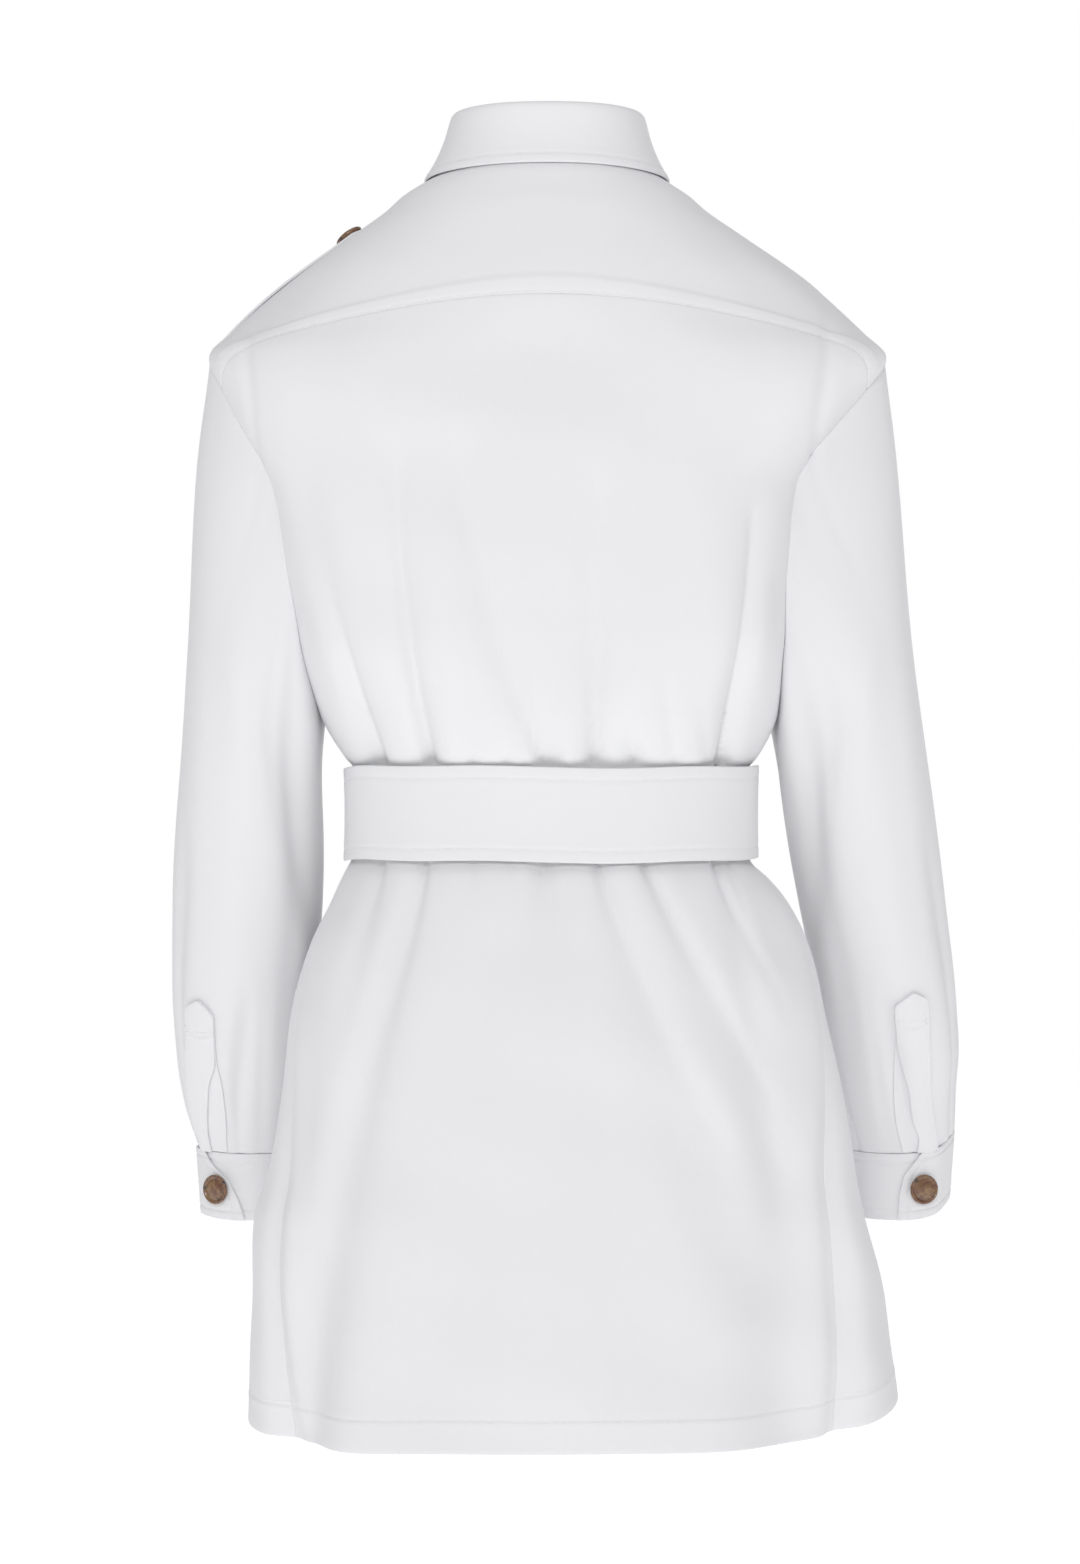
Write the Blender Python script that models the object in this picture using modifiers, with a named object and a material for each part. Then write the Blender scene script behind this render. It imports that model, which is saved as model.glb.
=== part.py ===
"""A belted safari jacket, filled out as it is worn, in metres with +Z up.

The front faces -Y and the wearer's left is +X. The origin is the middle of the neck, at the height
of the seam under the back of the collar. Each cloth piece is a wall between its outer face and the
same face moved in by the cloth's thickness. The body is one surface, given by the angle round the
wearer (0 at the left side, a quarter turn at the back) and the height. The sleeves are a second
surface, given by the turn round the arm and the share of the way from the armhole to the cuff.
"""

import math

import bmesh
import bpy
import numpy as np
from mathutils import Matrix, Vector

MM = 0.001

# Driving dimensions
BACK_LENGTH = 0.779
CLOTH = 1.6 * MM
SEAM_GAP = 0.3 * MM
BELT_TOP = -0.3705
BELT_BOTTOM = -0.4285
BELT_CLOTH = 2.0 * MM
BUTTON_ACROSS = 19 * MM
BUTTON_THICK = 3.6 * MM
PLACKET_WIDTH = 30 * MM
STAND_HEIGHT_BACK = 34 * MM
STAND_HEIGHT_FRONT = 30 * MM
STAND_LEAN_ACROSS = 0.19
STAND_LEAN_DEEP = 0.10
STAND_ABOVE_SEAM = 0.1 * MM
FALL_CLOTH = 1.5 * MM
CUFF_HEIGHT = 43 * MM
PLACKET_BELOW_NECK = 1 * MM

# Armhole: an upright oval from the shoulder tip down to the underarm
SHOULDER_TIP = -0.115
UNDERARM = -0.338
ARMHOLE_HALF_DEPTH = 0.070
ARM_COLUMNS = 20
YOKE_TURN = math.radians(36)

# Neck and yoke
YOKE_AT_CENTRE_BACK = -0.084
YOKE_NECK_ANGLE = math.radians(-26)
# The back yoke seam's bow is a share of a broad curve, and the rest of a steep one, by power
YOKE_BROAD_SHARE = 0.65
YOKE_BROAD_POWER = 2
YOKE_STEEP_POWER = 16
BACK_RISE_POWER = 1.5
NECK_DROP = 0.060
NECK_POWER = 4.5
NECK_AXIS = np.array((0.0, -0.005))

# Grid of the panels
BACK_COLUMNS = 36
YOKE_ROWS = 5
NECK_COLUMNS = 8
ROWS_ABOVE_HEM = (-742, -700, -655, -610, -565, -522, -486, -460, -442, -430, -369, -360, -350)
LOWER_ROWS = np.array((-BACK_LENGTH / MM, *ROWS_ABOVE_HEM)) * MM

CENTRE_BACK = math.pi / 2
CENTRE_FRONT = -math.pi / 2
BACK_SQUARENESS = 2 / 2.3
FRONT_SQUARENESS = 1
# Steps over which the surfaces' slopes are measured
ANGLE_STEP = 0.006
HEIGHT_STEP = 0.6 * MM
TURN_STEP = 0.01
SHARE_STEP = 0.004


def table(columns, rows):
    """Named columns of a table written in millimetres, in metres, lowest row first."""
    ordered = np.array(sorted(rows), float) * MM
    return dict(zip(columns.split(), ordered.T))


# The body's outline at each height: half-widths to the wearer's left and right, depths to the back
# and the front, and how far behind the origin the widest line lies
BODY = table("height left right back front centre", [
    (12, 66, 66, 64, 48, 0),
    (0, 70, 70, 66, 52, 0),
    (-6, 80, 78, 69, 55, 0),
    (-13.5, 94.5, 92.5, 72, 58, 0),
    (-23.5, 106.5, 106, 76.5, 62.5, 0),
    (-38.5, 132, 130, 81, 68, 0),
    (-69, 167.5, 169.5, 90, 80, 0),
    (-101.5, 201, 200, 97, 92, 0),
    (-115, 212, 211, 100, 96, 0),
    (-138, 204, 198, 104, 101, 0),
    (-153, 198, 187, 106, 104, 0),
    (-175, 187, 170, 108, 108, 0),
    (-197, 177, 158, 110, 111, 0),
    (-243, 167, 153, 112, 114, 0),
    (-286, 158, 150, 111, 112, 0),
    (-305, 153, 147, 109, 109, 0),
    (-338, 143, 144, 104, 104, 0),
    (-352, 136, 139, 99, 99, 0),
    (-361, 130, 134, 93, 94, 0),
    (-369, 123, 127, 87, 88, 0),
    (-430, 123, 127, 87, 88, 0),
    (-438, 126, 136, 91, 92, 3),
    (-454, 135, 149, 97, 98, 8),
    (-480, 149, 162, 104, 104, 12),
    (-505, 156, 170, 109, 108, 15),
    (-536, 162, 176, 114, 112, 18),
    (-580, 167, 185, 119, 117, 20),
    (-624, 175, 192, 124, 121, 20),
    (-650, 182, 198, 127, 124, 18),
    (-706, 186, 211, 132, 129, 8),
    (-785, 188, 222, 138, 135, 0),
])

# Folds that hang from the gathered waist. Each runs from its top to its bottom height through three
# places across; a negative depth is a trough. Face +1 is the back, -1 the front.
FOLD_COLUMNS = "face top bottom x_top x_middle x_bottom depth_top depth_bottom wide_top wide_bottom"
FOLDS = [dict(zip(FOLD_COLUMNS.split(), row)) for row in [
    (1, -215, -369, 146, 126, 103, 0, -6, 20, 12),
    (1, -200, -369, 93, 89, 75, 0, -6, 12, 7),
    (1, -180, -369, 55, 34, 2, 0, -6, 13, 7),
    (1, -270, -369, 34, 22, 13, 0, 3, 10, 7),
    (1, -190, -369, -25, -26, -27, 0, -5, 10, 6),
    (1, -335, -369, -44, -47, -52, 0, -3, 7, 6),
    (1, -230, -369, -121, -117, -107, -2, -6, 18, 9),
    (1, -120, -330, 6, 4, 4, -2, 0, 34, 30),
    (1, -150, -320, 152, 146, 139, 3, 0, 12, 14),
    (1, -150, -330, -139, -136, -132, 3, 0, 12, 14),
    (1, -430, -560, 104, 118, 132, -4, 0, 8, 14),
    (1, -430, -777, 77, 128, 140, -6, -9, 8, 26),
    (1, -430, -500, 2, 1, 0, -5, 0, 7, 12),
    (1, -430, -777, 20, 12, 8, 1, 6, 12, 34),
    (1, -430, -640, -32, -68, -116, -5, -1, 8, 18),
    (1, -430, -610, -60, -98, -132, -5, -1, 7, 16),
    (1, -430, -777, -105, -150, -150, -5, -8, 8, 28),
    (-1, -200, -369, 92, 86, 78, 0, -5, 14, 8),
    (-1, -240, -369, 60, 55, 44, 0, -4, 12, 7),
    (-1, -190, -369, -70, -66, -52, 0, -5, 13, 8),
    (-1, -250, -369, -112, -108, -96, 0, -5, 14, 9),
    (-1, -430, -777, 50, 84, 104, -5, -7, 8, 26),
    (-1, -430, -600, 88, 104, 122, -4, 0, 8, 16),
    (-1, -430, -777, -46, -80, -104, -5, -8, 8, 28),
    (-1, -430, -620, -92, -112, -132, -4, 0, 8, 16),
]]
FOLD_FADE = 14 * MM

# The side seams swing to the back below the waist and lie in a trough at the hem
SIDE_SEAM = table("height angle trough", [
    (-338, 0, 0), (-440, 90, 0), (-540, 270, 2), (-620, 440, 5), (-785, 600, 10),
])
SIDE_TROUGH_WIDTH = 13 * MM
HEM_LIFT_RIGHT = 14 * MM
HEM_LIFT_SPREAD = 0.6
HEM_LIFT_START = -0.62
HEM_CORNER_DROP = 4 * MM

# The sleeves at each height: outer and inner edge from the middle plane, the middle's place in
# depth and half the depth
SLEEVE_COLUMNS = "height outer inner middle half_depth"
SLEEVES = {
    1: table(SLEEVE_COLUMNS, [
        (-115, 213, 165, 0, 50), (-200, 222, 152, 0, 62), (-300, 228, 144, -6, 62),
        (-354, 231, 143, -12, 60), (-454, 239, 144, -32, 56), (-517, 241, 148, -47, 52),
        (-560, 239, 151, -58, 47), (-590, 235, 154, -66, 42), (-618, 227, 158, -73, 36),
    ]),
    -1: table(SLEEVE_COLUMNS, [
        (-115, 212, 163, 0, 50), (-200, 221, 148, 0, 62), (-300, 231, 146, -6, 62),
        (-354, 238, 146, -12, 60), (-454, 253, 160, -32, 56), (-517, 262, 172, -47, 52),
        (-560, 265, 179, -58, 47), (-590, 264, 186, -66, 42), (-618, 264, 195, -73, 36),
    ]),
}
CUFF_SEAM = -0.618
SLEEVE_ROWS = 11
SLEEVE_ROW_POWER = 1.15
SLEEVE_RADIUS = 0.055
ARMHOLE_BLEND = 0.28
# How fast the sleeve's edge takes its own slope where the sleeve turns back from the body
EDGE_TURN_RATE = 2

# Soft folds along the sleeves, by turn round the arm in degrees and share of the way down
SLEEVE_FOLD_COLUMNS = "turn_top turn_bottom top bottom depth wide"
SLEEVE_FOLDS = [dict(zip(SLEEVE_FOLD_COLUMNS.split(), row)) for row in [
    (118, 150, 0.02, 0.55, -5, 15),
    (-110, -150, 0.03, 0.50, -5, 15),
    (35, 20, 0.55, 0.98, -3, 10),
    (100, 84, 0.70, 1.00, -4, 8),
    (-60, -40, 0.62, 1.00, -4, 10),
    (-120, -100, 0.74, 1.00, -3, 9),
]]

# Cuff ends: where the upper layer ends at its top and bottom, where its button sits, and the turn
# of the sleeve opening's band at its top and bottom, all in degrees from the outer side to the back
CUFFS = {
    1: {"edge_top": 38, "edge_bottom": 84, "button": 48, "band_top": 49, "band_bottom": 30},
    -1: {"edge_top": 74, "edge_bottom": 97, "button": 66, "band_top": 68, "band_bottom": 60},
}
CUFF_UNDERLAP = math.radians(6)
CUFF_STEP = math.radians(24)
CUFF_STEP_AHEAD = math.radians(33.6)
CUFF_BUTTON_DOWN = 0.55
CUFF_LAP = 2.1 * MM
CUFF_TAPER = 3 * MM
CUFF_COLUMNS = 28
BAND_ROWS = 6
BAND_COLUMNS = 4
BAND_TOP = -0.523
BAND_HALF_WIDTH = 9 * MM
BAND_POINT = 10 * MM
BAND_OUT = 0.9 * MM
BAND_ABOVE_SEAM = 1.2 * MM
BAND_RADIUS = 0.042
# Rows of a band's or a tab's point: share of the point's length left, and share of the half-width
POINT_ROWS = ((0.5, 0.55), (0, 0.12))

# Epaulettes, from the armhole towards the neck along the top of the shoulder
EPAULETTE_OUTER = -0.110
EPAULETTE_TIP = -0.031
EPAULETTE_HALF_WIDTH = 18 * MM
EPAULETTE_MIDDLE = -12 * MM
EPAULETTE_LIFT = 0.8 * MM
EPAULETTE_BUTTON = -0.039
EPAULETTE_POINT = 6 * MM
EPAULETTE_ROWS = 7
EPAULETTE_COLUMNS = 5

FRONT_BUTTONS = (-88, -168, -248, -325, -492, -578, -664)

# The collar's roll over the stand's top edge: how far out from it and how far above it
ROLL = np.array([(-0.8, 2.5), (1.4, 4.0), (4.0, 3.2), (5.4, -0.5)]) * MM
FALL_ROWS = 3
FALL_LOWER_BACK = -0.5 * MM
FALL_DROP_FRONT = 76 * MM
FALL_OUT_BACK = 3.9 * MM
FALL_OUT_FRONT = 4.2 * MM
FALL_FRONT_START = math.radians(5)
FALL_POINT_SPREAD = math.radians(16)
# The upward share of the edge's stand-off, and the drop over which that changes to the front's
FALL_TILT = 0.4
FALL_LEVEL_DROP = 30 * MM

# Belt: one strip round the waist whose tail laps over its start at the front and runs through the
# buckle. Turns are from the middle front, anticlockwise seen from above.
BELT_COLUMNS = 44
BELT_START = math.radians(-8)
BELT_TAIL = math.radians(34)
BELT_OUT = 3.0 * MM
TAIL_OUT = 2.5 * MM
BUCKLE_TURN = math.radians(6)
BUCKLE_HALF_WIDTH = 24 * MM
BUCKLE_BAR = 4 * MM
BUCKLE_THICK = 3 * MM
BUCKLE_MARGIN = 3 * MM
# Where the lap starts to step out, before the belt's start, and the length of its step, as turns
LAP_AHEAD = 0.32
LAP_STEP = 0.22
BUCKLE_GAP = 0.6 * MM
BUCKLE_ROUNDING = 0.8 * MM
BUCKLE_SEGMENTS = 2

# A button's profile as shares of its half-width and thickness, down its outer side
BUTTON_PROFILE = ((0, 0.80), (0.70, 0.76), (0.88, 1.0), (1.0, 0.72), (0.86, 0.0), (0, 0))
BUTTON_SIDES = 14
BUTTON_SEAT = 0.25 * MM
MERGE_WITHIN = 0.01 * MM

SHARP_ANGLE = math.radians(50)

LINEN_WHITE = (0.84, 0.84, 0.86)
HORN_BROWN = (0.13, 0.055, 0.022)


def along(columns, name, height):
    """A table's column at a height: cubic pieces whose slope at each row is the harmonic mean of
    the two chords beside it, or nothing where the chords turn."""
    at, value = columns["height"], columns[name]
    chord = np.diff(value) / np.diff(at)
    before, after = chord[:-1], chord[1:]
    total = np.where(before + after == 0, 1, before + after)
    inner = np.where(before * after > 0, 2 * before * after / total, 0)
    slope = np.concatenate((chord[:1], inner, chord[-1:]))
    row = np.clip(np.searchsorted(at, height) - 1, 0, len(at) - 2)
    span = at[row + 1] - at[row]
    t = np.clip((height - at[row]) / span, 0, 1)
    low = (2 * t**3 - 3 * t**2 + 1) * value[row] + (t**3 - 2 * t**2 + t) * span * slope[row]
    high = (3 * t**2 - 2 * t**3) * value[row + 1] + (t**3 - t**2) * span * slope[row + 1]
    return low + high


def smooth(share):
    """0 to 1 with level ends."""
    share = np.clip(share, 0, 1)
    return share * share * (3 - 2 * share)


def unit(vectors):
    return vectors / np.maximum(np.linalg.norm(vectors, axis=-1, keepdims=True), 1e-12)


def signed_power(value, power):
    return np.sign(value) * np.abs(value) ** power


def body_sizes(angle, height):
    """Half-width and depth on the side that the angle faces, the widest line's depth, and the
    outline's squareness there."""
    across = np.where(np.cos(angle) >= 0, along(BODY, "left", height), along(BODY, "right", height))
    centre = along(BODY, "centre", height)
    at_back = np.sin(angle) >= 0
    deep = np.where(at_back, along(BODY, "back", height) - centre,
                    along(BODY, "front", height) + centre)
    return across, deep, centre, np.where(at_back, BACK_SQUARENESS, FRONT_SQUARENESS)


def angle_at_x(x, height, face):
    """The body angle at a place across, on the back (face 1) or the front (face -1)."""
    guess = np.where(x >= 0, 0.5, math.pi - 0.5) * face
    across, _, _, power = body_sizes(guess, height)
    from_side = np.arccos(np.clip(np.abs(x) / across, 0, 1) ** (1 / power))
    return face * np.where(x >= 0, from_side, math.pi - from_side)


def angle_at_y(y, height):
    """The body angle on the left side at a depth beside the armhole."""
    _, deep, centre, power = body_sizes(np.where(y >= 0, 0.5, -0.5), height)
    return np.sign(y) * np.arcsin(np.clip(np.abs(y - centre) / deep, 0, 1) ** (1 / power))


def side_angle(height):
    """The side seam's angle below the underarm; its table holds thousandths of a radian."""
    return along(SIDE_SEAM, "angle", height)


def wrapped(angle):
    return (angle + math.pi) % (2 * math.pi) - math.pi


def fold_push(angle, height):
    """How far folds push the cloth out: each is a bell across its path, faded at both ends."""
    radius = sum(along(BODY, name, height) for name in ("left", "right", "back", "front")) / 4
    push = np.zeros_like(height + angle)
    for fold in FOLDS:
        top, bottom = fold["top"] * MM, fold["bottom"] * MM
        share = np.clip((top - height) / (top - bottom), 0, 1)
        x = ((1 - share) ** 2 * fold["x_top"] + 2 * share * (1 - share) * fold["x_middle"]
             + share**2 * fold["x_bottom"]) * MM
        depth = (fold["depth_top"] + (fold["depth_bottom"] - fold["depth_top"]) * share) * MM
        wide = (fold["wide_top"] + (fold["wide_bottom"] - fold["wide_top"]) * share) * MM
        fade = smooth(1 - (height - top) / FOLD_FADE) * smooth(1 - (bottom - height) / FOLD_FADE)
        away = wrapped(angle - angle_at_x(x, height, fold["face"])) * radius
        push += depth * fade * np.exp(-((away / wide) ** 2))
    for side in (0, math.pi):
        seam = side_angle(height) if side == 0 else math.pi - side_angle(height)
        away = wrapped(angle - seam) * radius
        trough = along(SIDE_SEAM, "trough", np.minimum(height, UNDERARM))
        push -= trough * np.exp(-((away / SIDE_TROUGH_WIDTH) ** 2))
    under_belt = smooth((BELT_TOP - height) / (2 * MM)) * smooth((height - BELT_BOTTOM) / (2 * MM))
    return push * (1 - under_belt)


def body(angle, height, plain=False):
    """A point of the body's outer face: x = across * |cos|^p, y = centre + deep * |sin|^p, pushed
    out along the outline's normal by the folds."""
    angle, height = np.broadcast_arrays(np.asarray(angle, float), np.asarray(height, float))
    across, deep, centre, power = body_sizes(angle, height)
    x = signed_power(np.cos(angle), power) * across
    y = centre + signed_power(np.sin(angle), power) * deep
    if plain:
        return np.stack((x, y, height), axis=-1)
    normal = unit(np.stack((np.cos(angle) / across, np.sin(angle) / deep), axis=-1))
    push = fold_push(angle, height)
    return np.stack((x + push * normal[..., 0], y + push * normal[..., 1], height), axis=-1)


def surface_normal(surface, first, second, first_step, second_step):
    """Unit normal of a surface of two parameters, from small steps to both sides."""
    one = surface(first + first_step, second) - surface(first - first_step, second)
    two = surface(first, second + second_step) - surface(first, second - second_step)
    return unit(np.cross(one, two))


def body_faces(angle, height, out=0.0, thick=CLOTH, plain=False):
    """Outer and inner face of a cloth that follows the body, moved out from its outer face."""
    def surface(a, h):
        return body(a, h, plain)
    angle, height = np.broadcast_arrays(np.asarray(angle, float), np.asarray(height, float))
    normal = surface_normal(surface, angle, height, ANGLE_STEP, HEIGHT_STEP)
    outer = surface(angle, height) + out * normal
    return outer, outer - thick * normal


def armhole(turn):
    """The armhole's height and depth at a turn round the arm: 0 at the shoulder tip, half a turn
    at the underarm, positive to the back."""
    middle, half = (SHOULDER_TIP + UNDERARM) / 2, (SHOULDER_TIP - UNDERARM) / 2
    return middle + half * np.cos(turn), ARMHOLE_HALF_DEPTH * np.sin(turn)


def armhole_angle(turn):
    height, depth = armhole(turn)
    return angle_at_y(depth, height), height


def neck_height(angle):
    """The neck seam's height: level round the back and dropping at the front."""
    return -NECK_DROP * np.maximum(-np.sin(angle), 0) ** NECK_POWER


def yoke_height(angle, edge_height, edge_angle):
    """The back yoke seam's height: level at the middle, with a long bow and a steep last stretch."""
    def drop(a):
        across = np.abs(np.cos(a)) ** BACK_SQUARENESS
        return (YOKE_BROAD_SHARE * across**YOKE_BROAD_POWER
                + (1 - YOKE_BROAD_SHARE) * across**YOKE_STEEP_POWER)
    return YOKE_AT_CENTRE_BACK + (edge_height - YOKE_AT_CENTRE_BACK) * drop(angle) / drop(edge_angle)


def hem_lift(angle, height):
    """The right side of the hem stands out and so rides up; the back's corners hang lower."""
    near = np.exp(-((wrapped(angle - math.pi) / HEM_LIFT_SPREAD) ** 2))
    corners = np.sin(2 * angle) ** 2 * (np.sin(angle) > 0)
    share = smooth((HEM_LIFT_START - height) / (BACK_LENGTH + HEM_LIFT_START))
    return (HEM_LIFT_RIGHT * near - HEM_CORNER_DROP * corners) * share


def armhole_turns():
    """Turns of the armhole's points from the underarm up to the yoke seam."""
    steps = round((math.pi - YOKE_TURN) / (2 * math.pi / ARM_COLUMNS))
    return np.linspace(math.pi, YOKE_TURN, steps + 1)


def back_grid():
    """Body angle and height of the back panel's points, lowest row first."""
    share = np.linspace(0, 1, BACK_COLUMNS + 1)
    angles, heights = [], []
    for level in LOWER_ROWS:
        start = side_angle(level)
        angles.append(start + (math.pi - 2 * start) * share)
        heights.append(level + hem_lift(angles[-1], level))
    edge_top = armhole(YOKE_TURN)[0]
    for turn in armhole_turns():
        start, level = armhole_angle(turn)
        angles.append(start + (math.pi - 2 * start) * share)
        rise = ((level - UNDERARM) / (edge_top - UNDERARM)) ** BACK_RISE_POWER
        top = yoke_height(angles[-1], edge_top, start)
        heights.append(level + (top - edge_top) * rise)
    return np.array(angles), np.array(heights)


def yoke_grid():
    """Body angle and height of the yoke's points, from its outer edge (row 0) to the neck."""
    back_angles, back_heights = back_grid()
    step = 2 * math.pi / ARM_COLUMNS
    turns = np.arange(-YOKE_TURN, YOKE_TURN - step / 2, step)
    side_angles, side_heights = armhole_angle(turns)
    outer_angle = np.concatenate((side_angles, back_angles[-1], math.pi - side_angles[::-1]))
    outer_height = np.concatenate((side_heights, back_heights[-1], side_heights[::-1]))
    inner_angle = np.linspace(YOKE_NECK_ANGLE, math.pi - YOKE_NECK_ANGLE, len(outer_angle))
    share = np.linspace(0, 1, YOKE_ROWS + 1)[:, None]
    angle = outer_angle + (inner_angle - outer_angle) * share
    return angle, outer_height + (neck_height(inner_angle) - outer_height) * share


def front_grid():
    """Body angle and height of the left front's points, from the side (column 0) to the middle.
    Above the underarm it is a Coons patch between armhole, yoke seam, neck and middle."""
    yoke_angle, yoke_level = yoke_grid()
    neck = np.linspace(YOKE_NECK_ANGLE, CENTRE_FRONT, NECK_COLUMNS + 1)[1:]
    top = np.array([np.concatenate((yoke_angle[:, 0], neck)),
                    np.concatenate((yoke_level[:, 0], neck_height(neck)))])
    columns = top.shape[1]
    across = np.linspace(0, 1, columns)
    side = np.array(armhole_angle(-armhole_turns()))
    rows = side.shape[1]
    up = np.linspace(0, 1, rows)
    middle = np.array([np.full(rows, CENTRE_FRONT), UNDERARM + (-NECK_DROP - UNDERARM) * up])
    bottom = np.array([CENTRE_FRONT * across, np.full(columns, UNDERARM)])
    s, t = across[None, None, :], up[None, :, None]
    patch = ((1 - s) * side[:, :, None] + s * middle[:, :, None]
             + (1 - t) * bottom[:, None, :] + t * top[:, None, :]
             - (1 - s) * (1 - t) * bottom[:, :1, None] - s * (1 - t) * bottom[:, -1:, None]
             - (1 - s) * t * top[:, :1, None] - s * t * top[:, -1:, None])
    angles, heights = [], []
    for level in LOWER_ROWS:
        start = side_angle(level)
        angles.append(start + (CENTRE_FRONT - start) * across)
        heights.append(np.full(columns, level))
    return np.array(angles + list(patch[0])), np.array(heights + list(patch[1]))


def sleeve_plain(side, turn, share):
    """A point of a sleeve's outer face: an oval ring at its height, pulled onto the armhole's
    points near the top: ring(turn, height) + (armhole - ring(turn, top)) * (1 - smooth(share))."""
    columns = SLEEVES[side]
    top, depth = armhole(turn)
    height = top + (CUFF_SEAM - top) * share

    def ring(level):
        middle = (along(columns, "outer", level) + along(columns, "inner", level)) / 2
        half = (along(columns, "outer", level) - along(columns, "inner", level)) / 2
        return np.stack((side * (middle + half * np.cos(turn)),
                         along(columns, "middle", level)
                         + along(columns, "half_depth", level) * np.sin(turn), level), axis=-1)

    angle = angle_at_y(depth, top)
    start = body(angle if side > 0 else math.pi - angle, top)
    pull = 1 - smooth(share / ARMHOLE_BLEND)
    return ring(height) + (start - ring(top)) * pull[..., None]


def sleeve(side, turn, share):
    """The sleeve's outer face with its folds, each a bell across its path."""
    turn, share = np.broadcast_arrays(np.asarray(turn, float), np.asarray(share, float))
    point = sleeve_plain(side, turn, share)
    normal = sleeve_normal(side, turn, share, sleeve_plain)
    push = np.zeros_like(share)
    for fold in SLEEVE_FOLDS:
        way = np.clip((share - fold["top"]) / (fold["bottom"] - fold["top"]), 0, 1)
        path = np.radians(fold["turn_top"] + (fold["turn_bottom"] - fold["turn_top"]) * way)
        away = wrapped(turn - path) * SLEEVE_RADIUS / (fold["wide"] * MM)
        inside = (share >= fold["top"]) & (share <= fold["bottom"])
        push += np.where(inside, fold["depth"] * MM * np.sin(math.pi * way) * np.exp(-away**2), 0)
    return point + normal * push[..., None]


def sleeve_normal(side, turn, share, surface):
    def face(a, b):
        return surface(side, a, np.clip(b, 0, 1))
    return -side * surface_normal(face, turn, share, TURN_STEP, SHARE_STEP)


def sleeve_faces(side, turn, share, out=0.0, thick=CLOTH):
    turn, share = np.broadcast_arrays(np.asarray(turn, float), np.asarray(share, float))
    normal = sleeve_normal(side, turn, share, sleeve)
    outer = sleeve(side, turn, share) + out * normal
    return outer, outer - thick * normal


def inset(points, gap=SEAM_GAP / 2, first=True, last=True, axis=0):
    """Moves a grid's end rows along the cloth by half a seam gap."""
    points = np.moveaxis(points.copy(), axis, 0)
    if first:
        points[0] += gap * unit(points[1] - points[0])
    if last:
        points[-1] += gap * unit(points[-2] - points[-1])
    return np.moveaxis(points, 0, axis)


def panel_faces(faces):
    """Both faces of a panel with half a seam gap taken off each edge."""
    return [inset(inset(face), axis=1) for face in faces]


def wall(name, faces, material, around=False):
    """A closed cloth wall between two grids of points with the same rows and columns."""
    rows, columns = faces[0].shape[:2]
    points = np.concatenate([face.reshape(-1, 3) for face in faces])
    number = np.arange(rows * columns).reshape(rows, columns)
    if around:
        number = np.concatenate((number, number[:, :1]), axis=1)
    low, high = number, number + rows * columns

    def quads(a, b, c, d):
        return np.stack((a.ravel(), b.ravel(), c.ravel(), d.ravel()), axis=1)

    polygons = [
        quads(low[:-1, :-1], low[:-1, 1:], low[1:, 1:], low[1:, :-1]),
        quads(high[:-1, :-1], high[1:, :-1], high[1:, 1:], high[:-1, 1:]),
        quads(low[0, :-1], high[0, :-1], high[0, 1:], low[0, 1:]),
        quads(low[-1, :-1], low[-1, 1:], high[-1, 1:], high[-1, :-1]),
    ]
    if not around:
        polygons += [
            quads(low[:-1, 0], low[1:, 0], high[1:, 0], high[:-1, 0]),
            quads(low[:-1, -1], high[:-1, -1], high[1:, -1], low[1:, -1]),
        ]
    mesh = bpy.data.meshes.new(name)
    mesh.from_pydata(points.tolist(), [], np.concatenate(polygons).tolist())
    solid = bmesh.new()
    solid.from_mesh(mesh)
    bmesh.ops.recalc_face_normals(solid, faces=solid.faces)
    solid.to_mesh(mesh)
    solid.free()
    mesh.shade_smooth()
    mesh.set_sharp_from_angle(angle=SHARP_ANGLE)
    return add(name, mesh, material)


def add(name, mesh, material):
    part = bpy.data.objects.new(name, mesh)
    mesh.materials.append(material)
    bpy.data.collections["safari_jacket"].objects.link(part)
    return part


def make_material(name, colour, roughness):
    material = bpy.data.materials.new(name)
    material.use_nodes = True
    shader = material.node_tree.nodes["Principled BSDF"]
    shader.inputs["Base Color"].default_value = (*colour, 1)
    shader.inputs["Roughness"].default_value = roughness
    shader.inputs["Metallic"].default_value = 0
    return material


def add_body_panels():
    """Back, yoke and the two fronts."""
    material = make_material("panel_cloth", LINEN_WHITE, 0.85)
    wall("back_panel", panel_faces(body_faces(*back_grid())), material)
    wall("back_yoke", panel_faces(body_faces(*yoke_grid())), material)
    left_angle, height = front_grid()
    for word, angle in (("left", left_angle), ("right", math.pi - left_angle)):
        level = height + hem_lift(angle, height)
        wall(f"front_{word}", panel_faces(body_faces(angle, level)), material)


def front_point(x, height, out, thick):
    return body_faces(angle_at_x(x, height, -1), height, out, thick)


def add_placket():
    """The doubled band on the right front's edge, over the left front."""
    material = make_material("placket_cloth", LINEN_WHITE, 0.85)
    height = front_grid()[1][:, -1:]
    x = np.linspace(-PLACKET_WIDTH / 2, PLACKET_WIDTH / 2, BAND_COLUMNS)[None, :] + 0 * height
    height = height + 0 * x
    height[-1] -= PLACKET_BELOW_NECK
    faces = front_point(x, height, SEAM_GAP + CLOTH, CLOTH)
    wall("front_placket", panel_faces(faces), material)


def neck_angles():
    """Angles of the neck seam's points, from the left of the middle front round the back: all of
    the fronts' points and every second one of the yoke's."""
    front = np.linspace(YOKE_NECK_ANGLE, CENTRE_FRONT, NECK_COLUMNS + 1)[::-1]
    return np.concatenate((front[:-1], yoke_grid()[0][-1][::2], math.pi - front[:-1][::-1]))


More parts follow.
